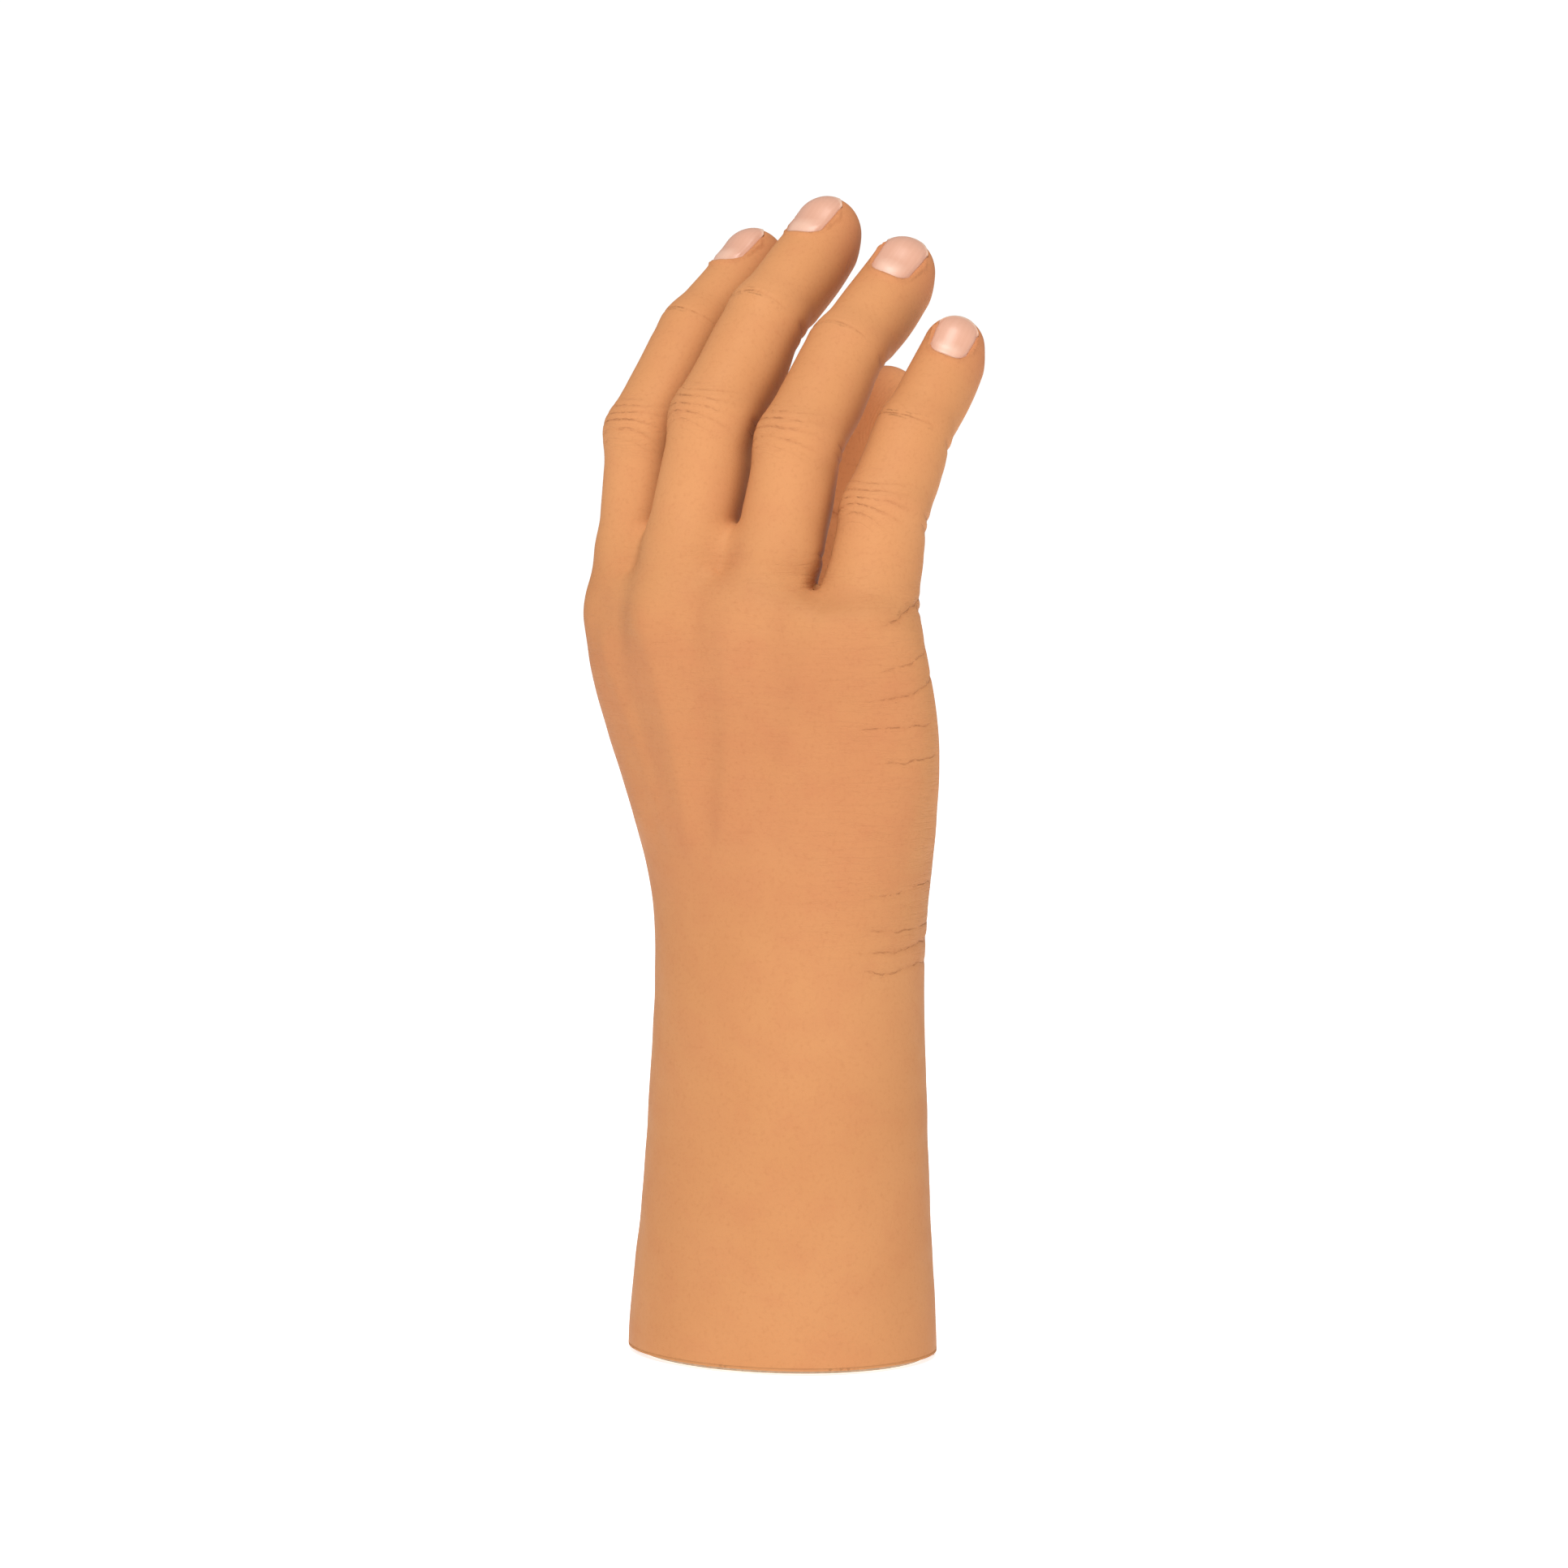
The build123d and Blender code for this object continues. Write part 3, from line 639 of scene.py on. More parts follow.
# ---- the back of the hand: hollows between the knuckles, tendons, rise of each knuckle
HOLLOW = 0.9
TENDON = 0.38
TENDON_LOW = 98.0
KNUCKLE_RISE = {"index": -1.3, "middle": 0.45, "ring": 0.45, "little": 0.45}
x, y, z = points.T
nx, ny = smooth_normals[:, 0], smooth_normals[:, 1]
dorsal_side = step(-ny, 0.1, 0.6)
palm_side = step(ny, 0.15, 0.6)
for first, second in zip(FINGERS[:-1], FINGERS[1:]):
    mid = (LIMBS[first].points[0] + LIMBS[second].points[0]) / 2
    height -= HOLLOW * dorsal_side * hump(x - mid[0], 5.0) * hump(z - mid[2] - 2.0, 13.0)
for name in FINGERS:
    top = LIMBS[name].points[0]
    low_x = 0.25 * top[0]
    share = np.clip((z - TENDON_LOW) / (top[2] - TENDON_LOW), 0.0, 1.2)
    centre = low_x + (top[0] - low_x) * share
    ridge = hump(x - centre, 2.6) * step(z, 104.0, 128.0) * (1 - step(z, 156.0, 170.0))
    height += TENDON * dorsal_side * ridge
    height += KNUCKLE_RISE[name] * dorsal_side * hump(x - top[0], 6.0) * hump(z - top[2], 6.5)
    flush += 0.08 * dorsal_side * hump(x - top[0], 8.0) * hump(z - top[2], 9.0)

# ---- the palm: hollow centre, full heel and pads below the fingers
PALM_HOLLOW, HEEL_RISE, FINGER_PAD_RISE = 2.4, 1.6, 0.9
height -= PALM_HOLLOW * palm_side * hump(x - 1.0, 15.0) * hump(z - 141.0, 17.0)
height += HEEL_RISE * palm_side * hump(x - 23.0, 12.0) * hump(z - 124.0, 20.0)
for name in FINGERS:
    top = LIMBS[name].points[0]
    pad = hump(x - top[0], 6.5) * hump(z - top[2] - 1.0, 7.0)
    height += FINGER_PAD_RISE * palm_side * pad


ROUTE_POINTS = 60


def follow(a, b, route):
    """Signed distance from a smooth route drawn in two coordinates, and how far along it is."""
    route = np.array(route, float)
    t = np.arange(len(route))
    fine_t = np.linspace(0, len(route) - 1, ROUTE_POINTS)
    line_a = spline(fine_t, t, route[:, 0])
    line_b = spline(fine_t, t, route[:, 1])
    best = np.full(len(a), 1e9)
    where = np.zeros(len(a))
    for i in range(len(fine_t) - 1):
        da, db = line_a[i + 1] - line_a[i], line_b[i + 1] - line_b[i]
        share = np.clip(((a - line_a[i]) * da + (b - line_b[i]) * db) / (da * da + db * db), 0, 1)
        distance = np.hypot(a - line_a[i] - share * da, b - line_b[i] - share * db)
        side = np.sign(da * (b - line_b[i]) - db * (a - line_a[i]))
        closer = distance < np.abs(best)
        best[closer] = (distance * side)[closer]
        where[closer] = (i + share[closer]) / (len(fine_t) - 1)
    return best, where


# palm lines in x and z: route, width, depth
PALM_LINES = (
    (((39, 160), (24, 157), (6, 161), (-8, 166), (-19, 174)), 0.75, 0.75),
    (((-41, 158), (-24, 157), (-6, 151), (12, 145), (28, 139)), 0.75, 0.70),
    (((-41, 156), (-26, 151), (-14, 138), (-7, 122), (-6, 105)), 0.85, 0.85),
    (((4, 108), (3, 122), (1, 138), (-1, 152)), 0.5, 0.30),
)
hand = np.flatnonzero((z > 98) & (z < 180) & (palm_side > 0.01) & (limb_fields[:, 4] > 1.5))
for route, width, depth in PALM_LINES:
    offset, where = follow(x[hand] + 0.8 * wobble[hand], z[hand], route)
    ends = step(where, 0.0, 0.12) * (1 - step(where, 0.88, 1.0))
    cut(hand, offset, width, depth, ends * palm_side[hand])

# creases on the little finger's edge of the hand, in y and z
EDGE_LINES = (
    (((-13, 163), (-5, 165.5), (4, 169), (12, 170)), 0.70, 0.28),
    (((-13, 153.5), (-5, 156), (4, 159.0), (13, 161)), 0.60, 0.10),
    (((-15, 147), (-6, 149), (3, 152.3), (13, 153.5)), 0.65, 0.20),
    (((-15, 141.5), (-6, 141.8), (3, 142.6)), 0.60, 0.12),
    (((-12, 134), (-3, 134.5), (6, 136)), 0.60, 0.06),
)
edge = np.flatnonzero((x > 18) & (z > 120) & (z < 182) & (nx > 0.15))
edge_share = step(nx[edge], 0.2, 0.55)
for route, width, depth in EDGE_LINES:
    offset, where = follow(y[edge], z[edge] + 0.35 * wobble_fine[edge], route)
    ends = step(where, 0.0, 0.25) * (1 - step(where, 0.75, 1.0))
    cut(edge, offset, width, depth, ends * edge_share)

# wrist creases run round the palm side from edge to edge
WRIST_LINES = ((93.5, 0.65, 0.24), (89.0, 0.60, 0.18), (97.6, 0.60, 0.09), (106.5, 0.60, 0.06))
wrist = np.flatnonzero((z > 84) & (z < 112))
round_share = step(ny[wrist] + 0.95 * np.maximum(nx[wrist], 0), 0.15, 0.8)
for place, width, depth in WRIST_LINES:
    level = place + 0.9 * wobble[wrist] + 0.25 * wobble_fine[wrist] - 1.2 * np.abs(nx[wrist])
    cut(wrist, z[wrist] - level, width, depth, round_share)

# ---- the whole skin: a pinker hand, fuller below the little finger, finer folds at the edge
EDGE_RISE = 1.4
flush += 0.40 * step(z, 84.0, 118.0) * (1 - step(z, 150.0, 172.0)) * step(-ny, -0.3, 0.4)
flush += 0.10 * wobble
off_limb = 1.0 - 0.5 * step(-limb_fields.min(axis=1), -1.5, 1.0)
height += EDGE_RISE * step(nx, 0.1, 0.8) * hump(z - 164.0, 8.0) * step(x, 18.0, 28.0) * off_limb
edge_fine = step(nx, 0.2, 0.7) * step(z, 82.0, 100.0) * (1 - step(z, 172.0, 184.0))
back_fine = dorsal_side * step(z, 100.0, 130.0) * (1 - step(z, 176.0, 186.0))
fine = np.maximum(fine, np.maximum(0.8 * edge_fine, 0.45 * back_fine))
height += 0.07 * wobble

# -------- nails
# ends along the last bone in tip radii, half width in radians, corners and arcs in tip radii,
# then how far the plate stands out, its thickness, and the bed and the fold round it in mm
NAIL_START = -1.02
NAIL_STARTS = {"little": -0.84}
NAIL_END = 0.90
NAIL_HALF = 0.74
CUTICLE_ARC, CUTICLE_CORNER = 0.12, 0.36
EDGE_ARC, EDGE_CORNER = 0.16, 0.30
NAIL_PROUD = 0.28
NAIL_THICK = 0.55
NAIL_TAPER = 0.10
NAIL_BED_DEPTH = 0.62
NAIL_FOLD_HEIGHT = 0.42


def nail_ends(limb, across):
    """Where the nail starts and ends along the bone, in tip radii."""
    corner = np.minimum(across**4, 2.0)
    start = NAIL_STARTS.get(limb.name, NAIL_START)
    low = start + CUTICLE_ARC * across**2 + CUTICLE_CORNER * corner
    high = NAIL_END - EDGE_ARC * across**2 - EDGE_CORNER * corner
    return low, high


def nail_width(along):
    """The nail's width at a place along it, as a share of its widest."""
    return 1.0 - NAIL_TAPER + NAIL_TAPER * np.sin(np.clip(along, 0, 1) * math.pi * 0.6)


def nail_place(limb, p):
    """Where a point lies on the nail: across -1 to 1, along 0 to 1 from root to free edge."""
    r = limb.radii[4]
    q = p - limb.points[4]
    s = q @ limb.ways[3] / r
    up = q @ limb.nail_up
    angle = np.arctan2(q @ limb.nail_side, up)
    across = angle / NAIL_HALF
    low, high = nail_ends(limb, across)
    along = (s - low) / np.maximum(high - low, 0.2)
    return across / nail_width(along), along, up > 0


for index, name in enumerate(limb_names):
    limb = LIMBS[name]
    r = limb.radii[4]
    own = np.flatnonzero(on_limb & (nearest == index))
    across, along, above_axis = nail_place(limb, points[own])
    wide = (np.abs(across) - 1.0) * NAIL_HALF * r
    length = (NAIL_END - NAIL_START) * r
    before = -along * length
    beyond = (along - 1.0) * length
    outside = np.maximum(np.maximum(wide, before), beyond)
    inside = (1 - step(outside, -0.55, 0.15)) * above_axis
    height[own] = height[own] * (1 - inside) - NAIL_BED_DEPTH * inside
    fold = np.maximum(wide, before)
    ridge = hump(fold - 0.75, 0.65) * (1 - step(beyond, -2.2, 0.2)) * above_axis
    height[own] += NAIL_FOLD_HEIGHT * ridge * (np.abs(across) < 2.2)
    # a thin line of painted shade round the nail, where the fold meets the plate
    line[own] = np.maximum(line[own] * (1 - inside), 0.35 * hump(outside, 0.4) * above_axis)
    flush[own] += 0.35 * hump(outside, 1.6) * above_axis
    fine[own] *= 1 - inside

points = points + smooth_normals * height[:, None]
points[:, 2] = np.maximum(points[:, 2], HEM)
normals = point_normals(points, quads)

# -------- pieces
# Zones round the joints: the wrist between two heights; a finger's base from BASE_LOWS above its
# hinge, over BASE_LENGTHS; an outer joint half its length to each side of the hinge; and the
# thumb's root between two distances along THUMB_WAY. Pieces are split at or between them.
WRIST_LOW, WRIST_HIGH = 76.0, 96.0
BASE_LOWS = {"index": 6.0, "middle": 6.0, "ring": 6.0, "little": 3.0}
BASE_LENGTHS = {"index": 12.0, "middle": 12.0, "ring": 11.0, "little": 9.5}
OUTER_HALF = 8.0
OUTER_HALVES = {"little": 7.0}
THUMB_WAY = unit((-0.5, 0.86, 0.1))
THUMB_LOW, THUMB_HIGH = 41.0, 60.0
THUMB_FLOOR = 97.0
THUMB_SPLIT_SHIFT = 1.5
OWN_REACH = 4.0

centres = points[quads].mean(axis=1)
quad_limb = nearest[quads[:, 0]]
quad_close = limb_fields[quads[:, 0], quad_limb] < OWN_REACH
piece = np.full(len(quads), "skin_palm", dtype=object)
piece[centres[:, 2] < WRIST_HIGH] = "skin_wrist"
piece[centres[:, 2] < WRIST_LOW] = "skin_forearm"
for index, name in enumerate(limb_names):
    limb = LIMBS[name]
    own = (quad_limb == index) & quad_close
    if name == "thumb":
        split = (THUMB_MIDDLE + THUMB_HINGE) / 2 + limb.ways[2] * THUMB_SPLIT_SHIFT
        own = (quad_limb == index) & (centres[:, 2] > THUMB_FLOOR)
        own &= centres @ THUMB_WAY > THUMB_LOW
        outer = own & ((centres - split) @ limb.ways[2] > 0)
    else:
        along = (centres - limb.points[1]) @ limb.ways[1]
        reach = np.linalg.norm(limb.points[2] - limb.points[1])
        base_end = BASE_LOWS[name] + BASE_LENGTHS[name]
        split = (base_end + reach - OUTER_HALVES.get(name, OUTER_HALF)) / 2
        own &= along > BASE_LOWS[name]
        outer = own & (along > split)
    piece[own] = f"skin_{name}_base"
    piece[outer] = f"skin_{name}_outer"


def new_mesh(name, vertices, faces, vertex_normals=None):
    """A mesh object in metres, smooth shaded."""
    mesh = bpy.data.meshes.new(name)
    mesh.vertices.add(len(vertices))
    mesh.vertices.foreach_set("co", (vertices / MM).astype(np.float32).ravel())
    count = faces.shape[1]
    mesh.loops.add(faces.size)
    mesh.loops.foreach_set("vertex_index", faces.astype(np.int32).ravel())
    mesh.polygons.add(len(faces))
    mesh.polygons.foreach_set("loop_start", np.arange(0, faces.size, count, dtype=np.int32))
    mesh.update(calc_edges=True)
    mesh.shade_smooth()
    if vertex_normals is not None:
        mesh.normals_split_custom_set_from_vertices(vertex_normals.astype(np.float32))
    made = bpy.data.objects.new(name, mesh)
    bpy.context.scene.collection.objects.link(made)
    return made


def store(mesh, name, values, kind="FLOAT"):
    attribute = mesh.attributes.new(name, kind, "POINT")
    field = "value" if kind == "FLOAT" else "vector"
    attribute.data.foreach_set(field, np.asarray(values, np.float32).ravel())


# the rolled lip at the glove's open end: steps inwards and up
HEM_PROFILE = ((0.35, 0.42), (0.85, 0.1), (1.3, 0.25), (1.6, 0.7), (1.6, 9.0))


def with_hem(p, faces, n):
    """Adds the rolled lip and the inside wall at the open end of the glove."""
    edges = np.concatenate([faces[:, (i, (i + 1) % 4)] for i in range(4)])
    codes = edges.min(axis=1) * len(p) + edges.max(axis=1)
    _, first, counts = np.unique(codes, return_index=True, return_counts=True)
    rim = edges[first[counts == 1]]
    rim = rim[p[rim][:, :, 2].max(axis=1) < HEM + 0.3]
    ring = np.unique(rim)
    outward = n[ring] * (1, 1, 0)
    outward /= np.linalg.norm(outward, axis=1, keepdims=True)
    place = {int(v): i for i, v in enumerate(ring)}
    order = np.array([[place[int(a)], place[int(b)]] for a, b in rim])
    p = p.copy()
    start = p[ring].copy()
    p[ring, 2] = HEM + 0.9
    last = ring
    for inset, rise in HEM_PROFILE:
        fresh = start - outward * inset
        fresh[:, 2] = HEM + rise
        ids = np.arange(len(ring)) + len(p)
        p = np.vstack((p, fresh))
        one, two = order.T
        faces = np.vstack((faces, np.column_stack((last[two], last[one], ids[one], ids[two]))))
        last = ids
    return p, faces


POINT_VALUES = {
    "skin_line": line, "skin_flush": flush, "skin_pale": pale, "skin_fine": fine,
    "fold_phase": fold_phase, "fold_mask": fold_mask,
    "print_phase": print_phase, "print_mask": print_mask,
}
skin_pieces = {}
for name in sorted(set(piece)):
    local, faces, used = compacted(points, quads[piece == name])
    shading = normals[used]
    values = {key: v[used] for key, v in POINT_VALUES.items()}
    if name == "skin_forearm":
        before = len(local)
        local, faces = with_hem(local, faces, shading)
        extra = len(local) - before
        values = {k: np.concatenate((v, np.zeros(extra))) for k, v in values.items()}
        fresh = point_normals(local, faces)
        low = local[:, 2] < HEM + 3.0
        fresh[:before][~low[:before]] = shading[~low[:before]]
        shading = fresh
    made = new_mesh(name, local, faces, shading)
    store(made.data, "skin_place", local, "FLOAT_VECTOR")
    for key, v in values.items():
        store(made.data, key, v)
    skin_pieces[name] = made


# -------- nail plates
NAIL_COLUMNS, NAIL_ROWS = 33, 37


def skin_radius(limb, s, angle):
    """Distance from the last bone's axis out to the skin, at a place and angle."""
    start = limb.points[4] + np.outer(s, limb.ways[3])
    way = np.outer(np.cos(angle), limb.nail_up) + np.outer(np.sin(angle), limb.nail_side)
    low, high = np.full(len(s), 1.0), np.full(len(s), 16.0)
    for _ in range(18):
        mid = (low + high) / 2
        outside = skin_distance(start + way * mid[:, None]) > 0
        high = np.where(outside, mid, high)
        low = np.where(outside, low, mid)
    return start, way, (low + high) / 2


def nail_plate(name, limb):
    r = limb.radii[4]
    columns, rows = np.linspace(-1, 1, NAIL_COLUMNS), np.linspace(0, 1, NAIL_ROWS)
    u, v = np.meshgrid(columns, rows, indexing="ij")
    u, v = u.ravel(), v.ravel()
    angle = u * NAIL_HALF * nail_width(v)
    bare = angle / NAIL_HALF
    low, high = nail_ends(limb, bare)
    s = (low + (high - low) * v) * r
    start, way, radius = skin_radius(limb, s, angle)
    tuck = step(np.abs(u), 0.80, 1.0) * (1 - step(v, 0.75, 1.0)) + 0.8 * (1 - step(v, 0.0, 0.16))
    lift = NAIL_PROUD - 0.40 * np.minimum(tuck, 1.0) + 0.10 * step(v, 0.8, 1.0)
    edge_thin = 0.35 + 0.65 * (1 - step(v, 0.86, 1.0)) * (1 - step(np.abs(u), 0.85, 1.0))
    top = start + way * (radius + lift)[:, None]
    bottom = start + way * (radius + lift - NAIL_THICK * edge_thin)[:, None]
    grid = np.arange(len(u)).reshape(NAIL_COLUMNS, NAIL_ROWS)
    a, b = grid[:-1, :-1].ravel(), grid[1:, :-1].ravel()
    c, d = grid[1:, 1:].ravel(), grid[:-1, 1:].ravel()
    n = len(u)
    faces = [np.column_stack((a, b, c, d)), np.column_stack((d, c, b, a)) + n]
    border = np.concatenate((grid[:, 0], grid[-1, 1:], grid[-2::-1, -1], grid[0, -2:0:-1]))
    following = np.roll(border, -1)
    faces.append(np.column_stack((following, border, border + n, following + n)))
    faces = np.concatenate(faces)
    p = np.vstack((top, bottom))
    if (np.cross(p[faces[0, 1]] - p[faces[0, 0]], p[faces[0, 2]] - p[faces[0, 0]]) @ way[0]) < 0:
        faces = faces[:, ::-1]
    made = new_mesh(f"nail_{name}", p, faces)
    store(made.data, "nail_across", np.tile(u, 2))
    store(made.data, "nail_along", np.tile(v, 2))
    return made


nails = {name: nail_plate(name, limb) for name, limb in LIMBS.items()}


# -------- materials
class Nodes:
    """A short way to write a node tree."""

    def __init__(self, name):
        self.material = bpy.data.materials.new(name)
        self.material.use_nodes = True
        self.tree = self.material.node_tree
        self.shader = self.tree.nodes["Principled BSDF"]

    def add(self, kind, inputs=(), **settings):
        node = self.tree.nodes.new(kind)
        for key, value in settings.items():
            setattr(node, key, value)
        for key, value in dict(inputs).items():
            if isinstance(value, bpy.types.NodeSocket):
                self.tree.links.new(value, node.inputs[key])
            else:
                node.inputs[key].default_value = value
        return node

    def attribute(self, name, output="Fac"):
        return self.add("ShaderNodeAttribute", attribute_name=name).outputs[output]

    def math(self, operation, a, b=0.0, c=0.0):
        node = self.add("ShaderNodeMath", {0: a, 1: b, 2: c}, operation=operation)
        return node.outputs[0]

    def mix(self, share, a, b):
        inputs = {0: share, 6: a, 7: b}
        return self.add("ShaderNodeMix", inputs, data_type="RGBA").outputs[2]

    def noise(self, vector, scale, detail=3.0, roughness=0.5, distortion=0.0):
        node = self.add("ShaderNodeTexNoise", {
            "Vector": vector, "Scale": scale, "Detail": detail,
            "Roughness": roughness, "Distortion": distortion,
        })
        return node.outputs["Fac"]

    def ramp(self, value, low, high, out_low=0.0, out_high=1.0):
        node = self.add("ShaderNodeMapRange", {0: value, 1: low, 2: high, 3: out_low, 4: out_high})
        return node.outputs[0]

    def link(self, value, key):
        self.tree.links.new(value, self.shader.inputs[key])

    def constant(self, **values):
        for key, value in values.items():
            self.shader.inputs[key.replace("_", " ")].default_value = value

    def bump(self, height, strength, distance, before=None):
        inputs = {"Height": height, "Strength": strength, "Distance": distance}
        if before is not None:
            inputs["Normal"] = before
        return self.add("ShaderNodeBump", inputs).outputs["Normal"]


def rgb(red, green, blue):
    """A colour given as 0 to 255 screen values."""
    def linear(v):
        v = v / 255.0
        return v / 12.92 if v <= 0.04045 else ((v + 0.055) / 1.055) ** 2.4
    return (linear(red), linear(green), linear(blue), 1.0)


SKIN_TAN = (0.500, 0.222, 0.089, 1.0)
SKIN_PINK = (0.462, 0.171, 0.078, 1.0)
# the darkest tone: real specks, and the shade painted into creases and fine folds
SKIN_DEEP_AND_SHADE = (0.330, 0.105, 0.040, 1.0)
SKIN_LIGHT = (0.540, 0.250, 0.105, 1.0)
SKIN_PALE = (0.680, 0.300, 0.128, 1.0)


def skin_material():
    m = Nodes("silicone_skin")
    place = m.attribute("skin_place", "Vector")
    cloud = m.noise(place, 0.030, 2.0)
    mottle = m.noise(place, 0.16, 4.0, 0.6)
    speck = m.noise(place, 1.1, 3.0, 0.6)
    base = m.mix(m.ramp(cloud, 0.35, 0.65, 0.0, 0.55), SKIN_TAN, SKIN_LIGHT)
    pinker = m.ramp(mottle, 0.45, 0.75, 0.0, 0.22)
    flush_share = m.math("MULTIPLY_ADD", m.attribute("skin_flush"), 0.8, pinker)
    base = m.mix(flush_share, base, SKIN_PINK)
    base = m.mix(m.attribute("skin_pale"), base, SKIN_PALE)
    base = m.mix(m.ramp(speck, 0.52, 0.80, 0.0, 0.22), base, SKIN_DEEP_AND_SHADE)
    # painted shade: the skin darkened in its creases, by their depth
    base = m.mix(m.math("MULTIPLY", m.attribute("skin_line"), 0.22), base, SKIN_DEEP_AND_SHADE)
    # fine drawn folds: thin broken lines at whole values of the phase, painted darker as shade and
    # pressed in by a bump
    waver = m.noise(place, 0.9, 2.0)
    phase = m.math("MULTIPLY_ADD", waver, 0.30, m.attribute("fold_phase"))
    turn = m.math("FRACT", m.math("ADD", phase, 0.35))
    off_line = m.math("ABSOLUTE", m.math("SUBTRACT", turn, 0.5))
    thin = m.ramp(off_line, 0.02, 0.12, 1.0, 0.0)
    broken = m.ramp(m.noise(place, 0.45, 2.0), 0.38, 0.56)
    drawn = m.math("MULTIPLY", m.math("MULTIPLY", thin, broken), m.attribute("fold_mask"))
    # painted shade along the fine fold lines
    base = m.mix(m.math("MULTIPLY", drawn, 0.30), base, SKIN_DEEP_AND_SHADE)
    m.link(base, "Base Color")
    m.link(m.ramp(mottle, 0.3, 0.7, 0.50, 0.62), "Roughness")
    m.constant(Specular_IOR_Level=0.05)
    # small cells of skin texture, fine folds across the hand, and fingerprint ridges
    cell_inputs = {"Vector": place, "Scale": 0.95, "Randomness": 0.9}
    cells = m.add("ShaderNodeTexVoronoi", cell_inputs, feature="DISTANCE_TO_EDGE")
    cell = m.ramp(cells.outputs["Distance"], 0.0, 0.12)
    normal = m.bump(cell, 0.16, 0.00010)
    normal = m.bump(m.math("SUBTRACT", 1.0, drawn), 0.7, 0.00030, normal)
    stretch_inputs = {"Vector": place, "Scale": (0.10, 0.10, 0.95)}
    stretch = m.add("ShaderNodeMapping", stretch_inputs, vector_type="POINT")
    folds = m.noise(stretch.outputs["Vector"], 1.0, 3.0, 0.55, 0.6)
    fold = m.math("MULTIPLY", m.ramp(folds, 0.40, 0.52), m.attribute("skin_fine"))
    normal = m.bump(fold, 0.30, 0.00035, normal)
    wave = m.math("SINE", m.math("MULTIPLY", m.attribute("print_phase"), 2 * math.pi / 0.62))
    ridge = m.math("MULTIPLY", wave, m.attribute("print_mask"))
    normal = m.bump(ridge, 0.25, 0.00012, normal)
    grain = m.noise(place, 2.2, 2.0, 0.6)
    normal = m.bump(grain, 0.10, 0.00012, normal)
    m.link(normal, "Normal")
    return m.material


def nail_material():
    m = Nodes("acrylic_nail")
    across, along = m.attribute("nail_across"), m.attribute("nail_along")
    place = m.add("ShaderNodeCombineXYZ", {0: across, 1: along}).outputs[0]
    streak_map = m.add("ShaderNodeMapping", {"Vector": place, "Scale": (9.0, 0.8, 1.0)})
    streak = m.noise(streak_map.outputs["Vector"], 1.0, 3.0)
    deep, light = (0.580, 0.305, 0.210, 1.0), (0.630, 0.355, 0.255, 1.0)
    base = m.mix(m.ramp(streak, 0.3, 0.7, 0.0, 0.5), deep, light)
    low = m.ramp(along, 0.16, 0.30, 1.0, 0.0)
    central = m.ramp(m.math("ABSOLUTE", across), 0.35, 0.7, 1.0, 0.0)
    moon = m.math("MULTIPLY", low, central)
    base = m.mix(m.math("MULTIPLY", moon, 0.35), base, (0.78, 0.55, 0.43, 1.0))
    free = m.ramp(along, 0.88, 0.95)
    base = m.mix(m.math("MULTIPLY", free, 0.55), base, (0.80, 0.58, 0.43, 1.0))
    m.link(base, "Base Color")
    m.link(m.ramp(streak, 0.2, 0.8, 0.36, 0.48), "Roughness")
    m.constant(Coat_Weight=0.12, Coat_Roughness=0.28, Specular_IOR_Level=0.35)
    m.link(m.bump(streak, 0.20, 0.00006), "Normal")
    return m.material


def laminate_material():
    """Woven reinforcement under a clear tan resin."""
    m = Nodes("resin_laminate")
    place = m.add("ShaderNodeTexCoord").outputs["Object"]
    weave = m.add("ShaderNodeTexChecker", {"Vector": place, "Scale": 620.0})
    tone = m.mix(m.noise(place, 90.0), rgb(196, 168, 132), rgb(214, 190, 156))
    base = m.mix(m.math("MULTIPLY", weave.outputs["Fac"], 0.22), tone, rgb(158, 128, 96))
    m.link(base, "Base Color")
    m.constant(Roughness=0.32, Coat_Weight=0.5, Coat_Roughness=0.12)
    m.link(m.bump(weave.outputs["Fac"], 0.15, 0.0001), "Normal")
    return m.material


def machined_material(name, dark, light, metallic, rough, ring_scale):
    """Turned or milled stock: fine rings and a little tarnish."""
    m = Nodes(name)
    place = m.add("ShaderNodeTexCoord").outputs["Object"]
    rings = m.add("ShaderNodeTexWave", {
        "Vector": place, "Scale": ring_scale, "Distortion": 0.6, "Detail": 2.0,
    }, wave_type="RINGS", rings_direction="Z")
    tarnish = m.noise(place, 140.0, 4.0, 0.6)
    base = m.mix(m.ramp(tarnish, 0.35, 0.7), dark, light)
    m.link(base, "Base Color")
    m.link(m.ramp(tarnish, 0.3, 0.7, rough - 0.06, rough + 0.08), "Roughness")
    m.constant(Metallic=metallic)
    m.link(m.bump(rings.outputs["Fac"], 0.10, 0.00004), "Normal")
    return m.material


def foam_material():
    m = Nodes("moulded_foam")
    place = m.add("ShaderNodeTexCoord").outputs["Object"]
    cells = m.add("ShaderNodeTexVoronoi", {"Vector": place, "Scale": 1400.0})
    m.link(m.mix(cells.outputs["Distance"], rgb(206, 176, 140), rgb(232, 208, 176)), "Base Color")
    m.constant(Roughness=0.9)
    m.link(m.bump(cells.outputs["Distance"], 0.4, 0.0003), "Normal")
    return m.material


SKIN = skin_material()
NAIL = nail_material()
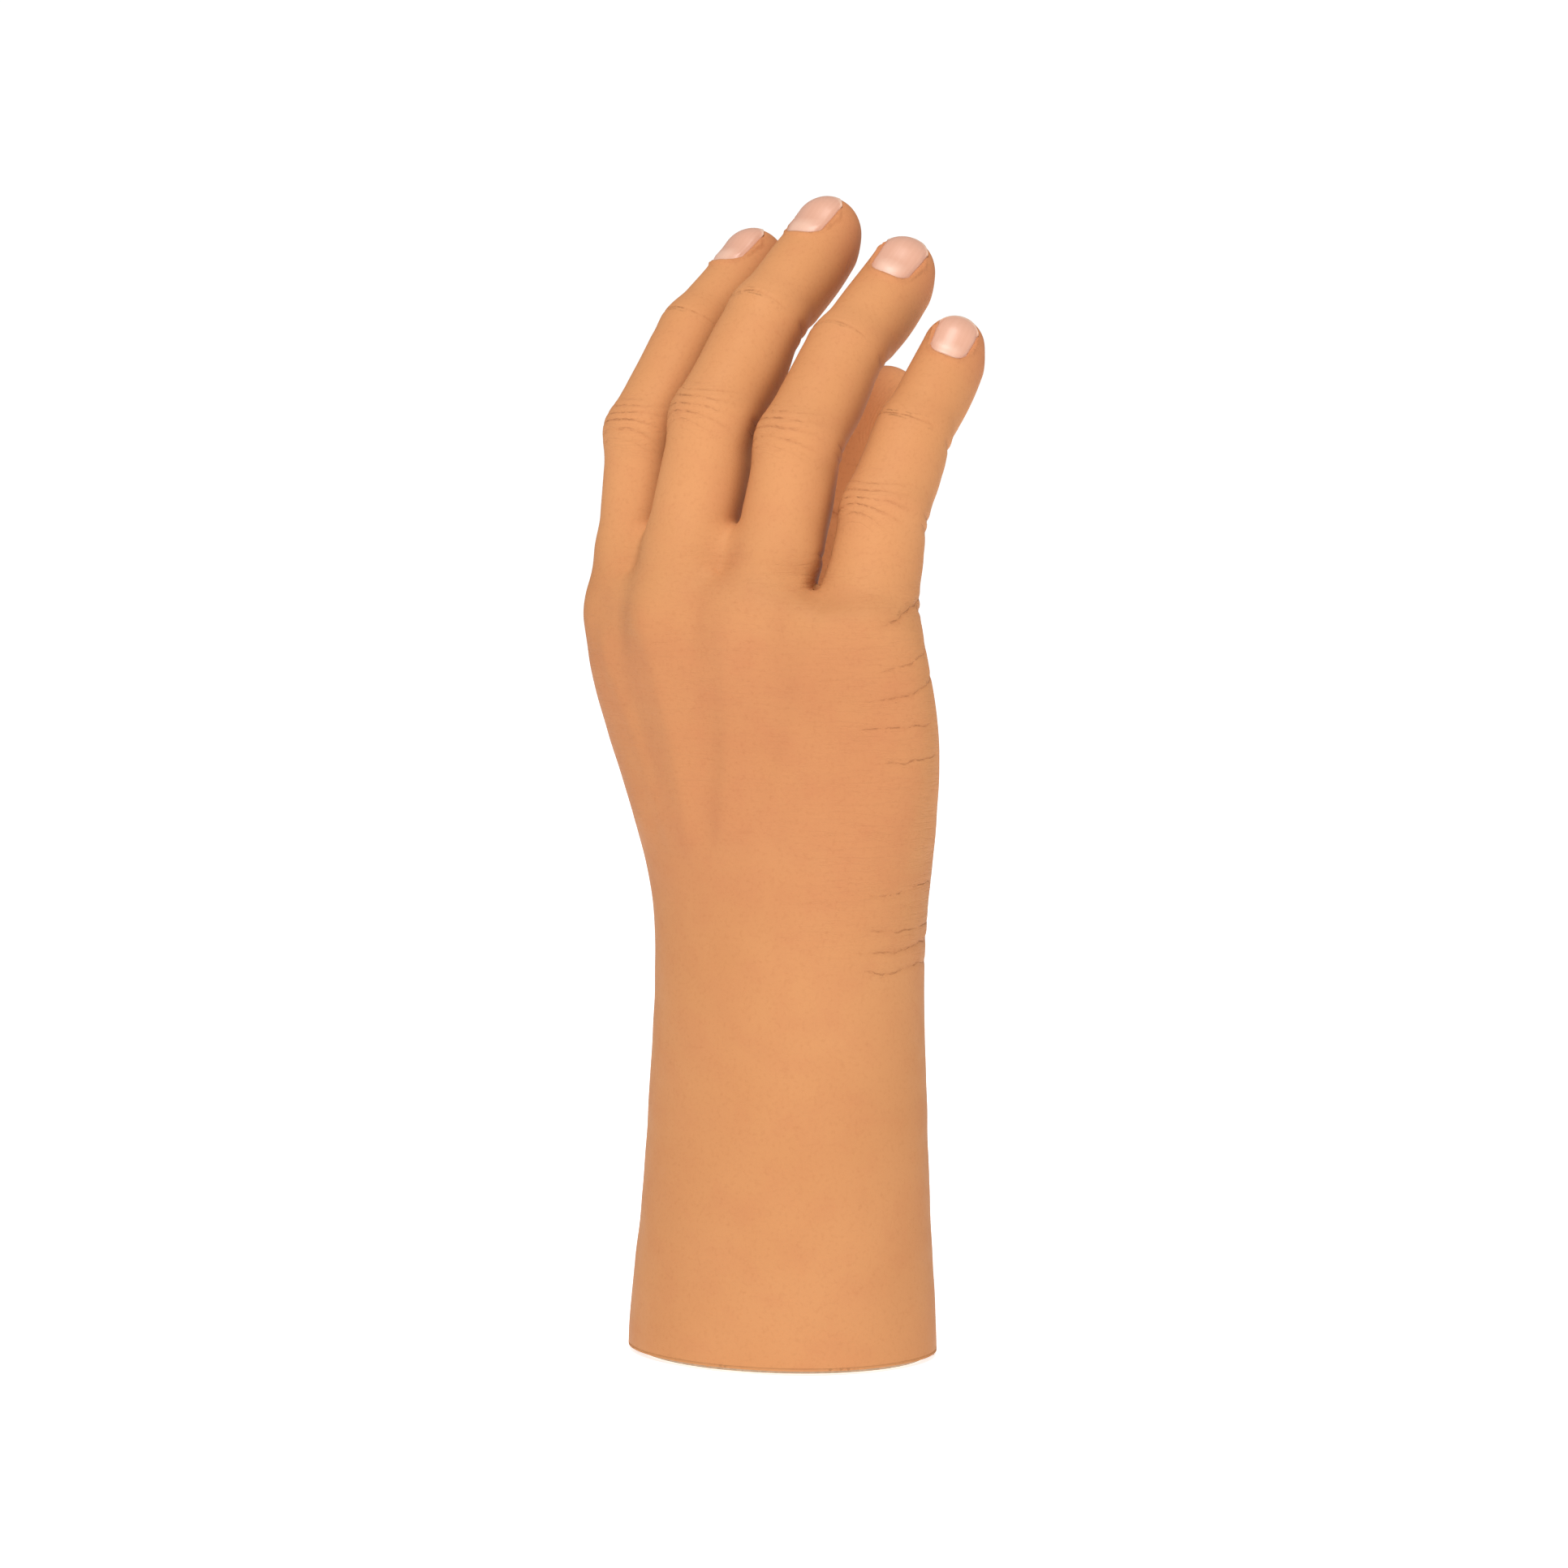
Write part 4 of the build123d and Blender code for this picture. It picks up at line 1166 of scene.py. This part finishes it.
# slot: the material's name, two tones, metallic, roughness, rings to the metre
MACHINED = {
    "plug_plastic": ("plug_plastic", rgb(212, 202, 184), rgb(222, 213, 196), 0.0, 0.42, 900.0),
    "bush_plastic": ("acetal", rgb(234, 234, 230), rgb(242, 242, 238), 0.0, 0.36, 900.0),
    "brass": ("brass", rgb(176, 134, 62), rgb(214, 174, 96), 1.0, 0.28, 1200.0),
    "alloy": ("light_alloy", rgb(158, 160, 164), rgb(200, 202, 206), 1.0, 0.34, 1100.0),
    "steel": ("stainless_steel", rgb(170, 170, 172), rgb(214, 214, 216), 1.0, 0.22, 1300.0),
}
FINISHES = {
    "laminate": laminate_material(),
    "foam": foam_material(),
    "glove_skin": SKIN,
    "nail": NAIL,
    **{slot: machined_material(*look) for slot, look in MACHINED.items()},
}


# words in a CAD node's name, and its finish
NODE_FINISHES = (
    (("glove",), "glove_skin"),
    (("nail",), "nail"),
    (("pad",), "foam"),
    (("shell",), "laminate"),
    (("base_insert",), "brass"),
    (("base_plug", "friction_washer"), "plug_plastic"),
    (("bush",), "bush_plastic"),
    (("pin", "screw", "stud", "nut"), "steel"),
)


def finish_of(node):
    """The finish of a CAD node, from its name."""
    for words, slot in NODE_FINISHES:
        if any(w in node for w in words):
            return slot
    return "alloy"


for node, made in frame["nodes"].items():
    made.data.materials.clear()
    made.data.materials.append(FINISHES[finish_of(node)])

# -------- materials for the pieces; the nails and the forearm and palm pieces fitted to their bodies
for name, made in skin_pieces.items():
    made.data.materials.append(SKIN)
for name, made in nails.items():
    made.data.materials.append(NAIL)
    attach(made, f"{name}_tip")
    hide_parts(f"{name}_nail")


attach(skin_pieces["skin_forearm"], "forearm")
low, high = (0, 0, WRIST_LOW / MM), (0, 0, WRIST_HIGH / MM)
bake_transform(skin_pieces["skin_wrist"])
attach(skin_pieces["skin_palm"], "palm")
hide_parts("palm_pad_dorsal", "palm_pad_palmar", "cosmetic_glove")
for name in FINGERS:
    limb = LIMBS[name]
    base = skin_pieces[f"skin_{name}_base"]
    outer = skin_pieces[f"skin_{name}_outer"]
    low = limb.points[1] + limb.ways[1] * BASE_LOWS[name]
    high = low + limb.ways[1] * BASE_LENGTHS[name]
    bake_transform(base)
    half = OUTER_HALVES.get(name, OUTER_HALF)
    way = unit(limb.ways[1] + limb.ways[2])
    middle = limb.points[2]
    low, high = middle - way * half, middle + way * half
    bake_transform(outer)
    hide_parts(f"{name}_proximal_pad")
    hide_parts(f"{name}_tip_pad")
thumb = LIMBS["thumb"]
base, outer = skin_pieces["skin_thumb_base"], skin_pieces["skin_thumb_outer"]
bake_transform(base)
way = unit(thumb.ways[2] + thumb.ways[3])
low, high = THUMB_HINGE - way * OUTER_HALF, THUMB_HINGE + way * OUTER_HALF
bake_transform(outer)
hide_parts("thumb_base_pad")
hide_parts("thumb_tip_pad")

# -------- floor, light
SKY_ON_OBJECT = 0.37
SKY_SEEN = 1.05
FLOOR_RADIUS = 12.0
FLOOR_GAP = 0.0002
LIGHT_DISTANCE, LIGHT_SIZE = 2.2, 0.9
floor_mesh = bpy.data.meshes.new("floor")
shape = bmesh.new()
bmesh.ops.create_circle(shape, cap_ends=True, segments=128, radius=FLOOR_RADIUS)
shape.to_mesh(floor_mesh)
shape.free()
floor = bpy.data.objects.new("floor", floor_mesh)
floor.location.z = -FLOOR_GAP
bpy.context.scene.collection.objects.link(floor)
floor_look = Nodes("pale_floor")
floor_look.constant(
    Base_Color=(0.93, 0.93, 0.93, 1.0), Roughness=0.9, Specular_IOR_Level=0.1,
    Emission_Color=(1.0, 1.0, 1.0, 1.0), Emission_Strength=0.69,
)
floor.data.materials.append(floor_look.material)

world = bpy.data.worlds.new("studio")
world.use_nodes = True
sky = world.node_tree.nodes
sky["Background"].inputs["Color"].default_value = (1.0, 1.0, 1.0, 1.0)
seen = sky.new("ShaderNodeLightPath").outputs["Is Camera Ray"]
level = sky.new("ShaderNodeMapRange")
level.inputs["To Min"].default_value = SKY_ON_OBJECT
level.inputs["To Max"].default_value = SKY_SEEN
world.node_tree.links.new(seen, level.inputs["Value"])
world.node_tree.links.new(level.outputs["Result"], sky["Background"].inputs["Strength"])
bpy.context.scene.world = world


def soft_light(name, azimuth, elevation, power):
    """A square soft light that points at the middle of the hand."""
    a, e = math.radians(azimuth), math.radians(elevation)
    way = Vector((math.sin(a) * math.cos(e), -math.cos(a) * math.cos(e), math.sin(e)))
    data = bpy.data.lights.new(name, "AREA")
    data.shape = "SQUARE"
    data.size = LIGHT_SIZE
    data.energy = power
    lamp = bpy.data.objects.new(name, data)
    lamp.location = CAMERA_TARGET + way * LIGHT_DISTANCE
    lamp.rotation_mode = "QUATERNION"
    lamp.rotation_quaternion = (-way).to_track_quat("-Z", "Y")
    bpy.context.scene.collection.objects.link(lamp)


soft_light("key", 32.0, 60.0, 40.0)
soft_light("front", 42.0, 6.0, 8.5)

bpy.context.scene.view_settings.view_transform = "Standard"
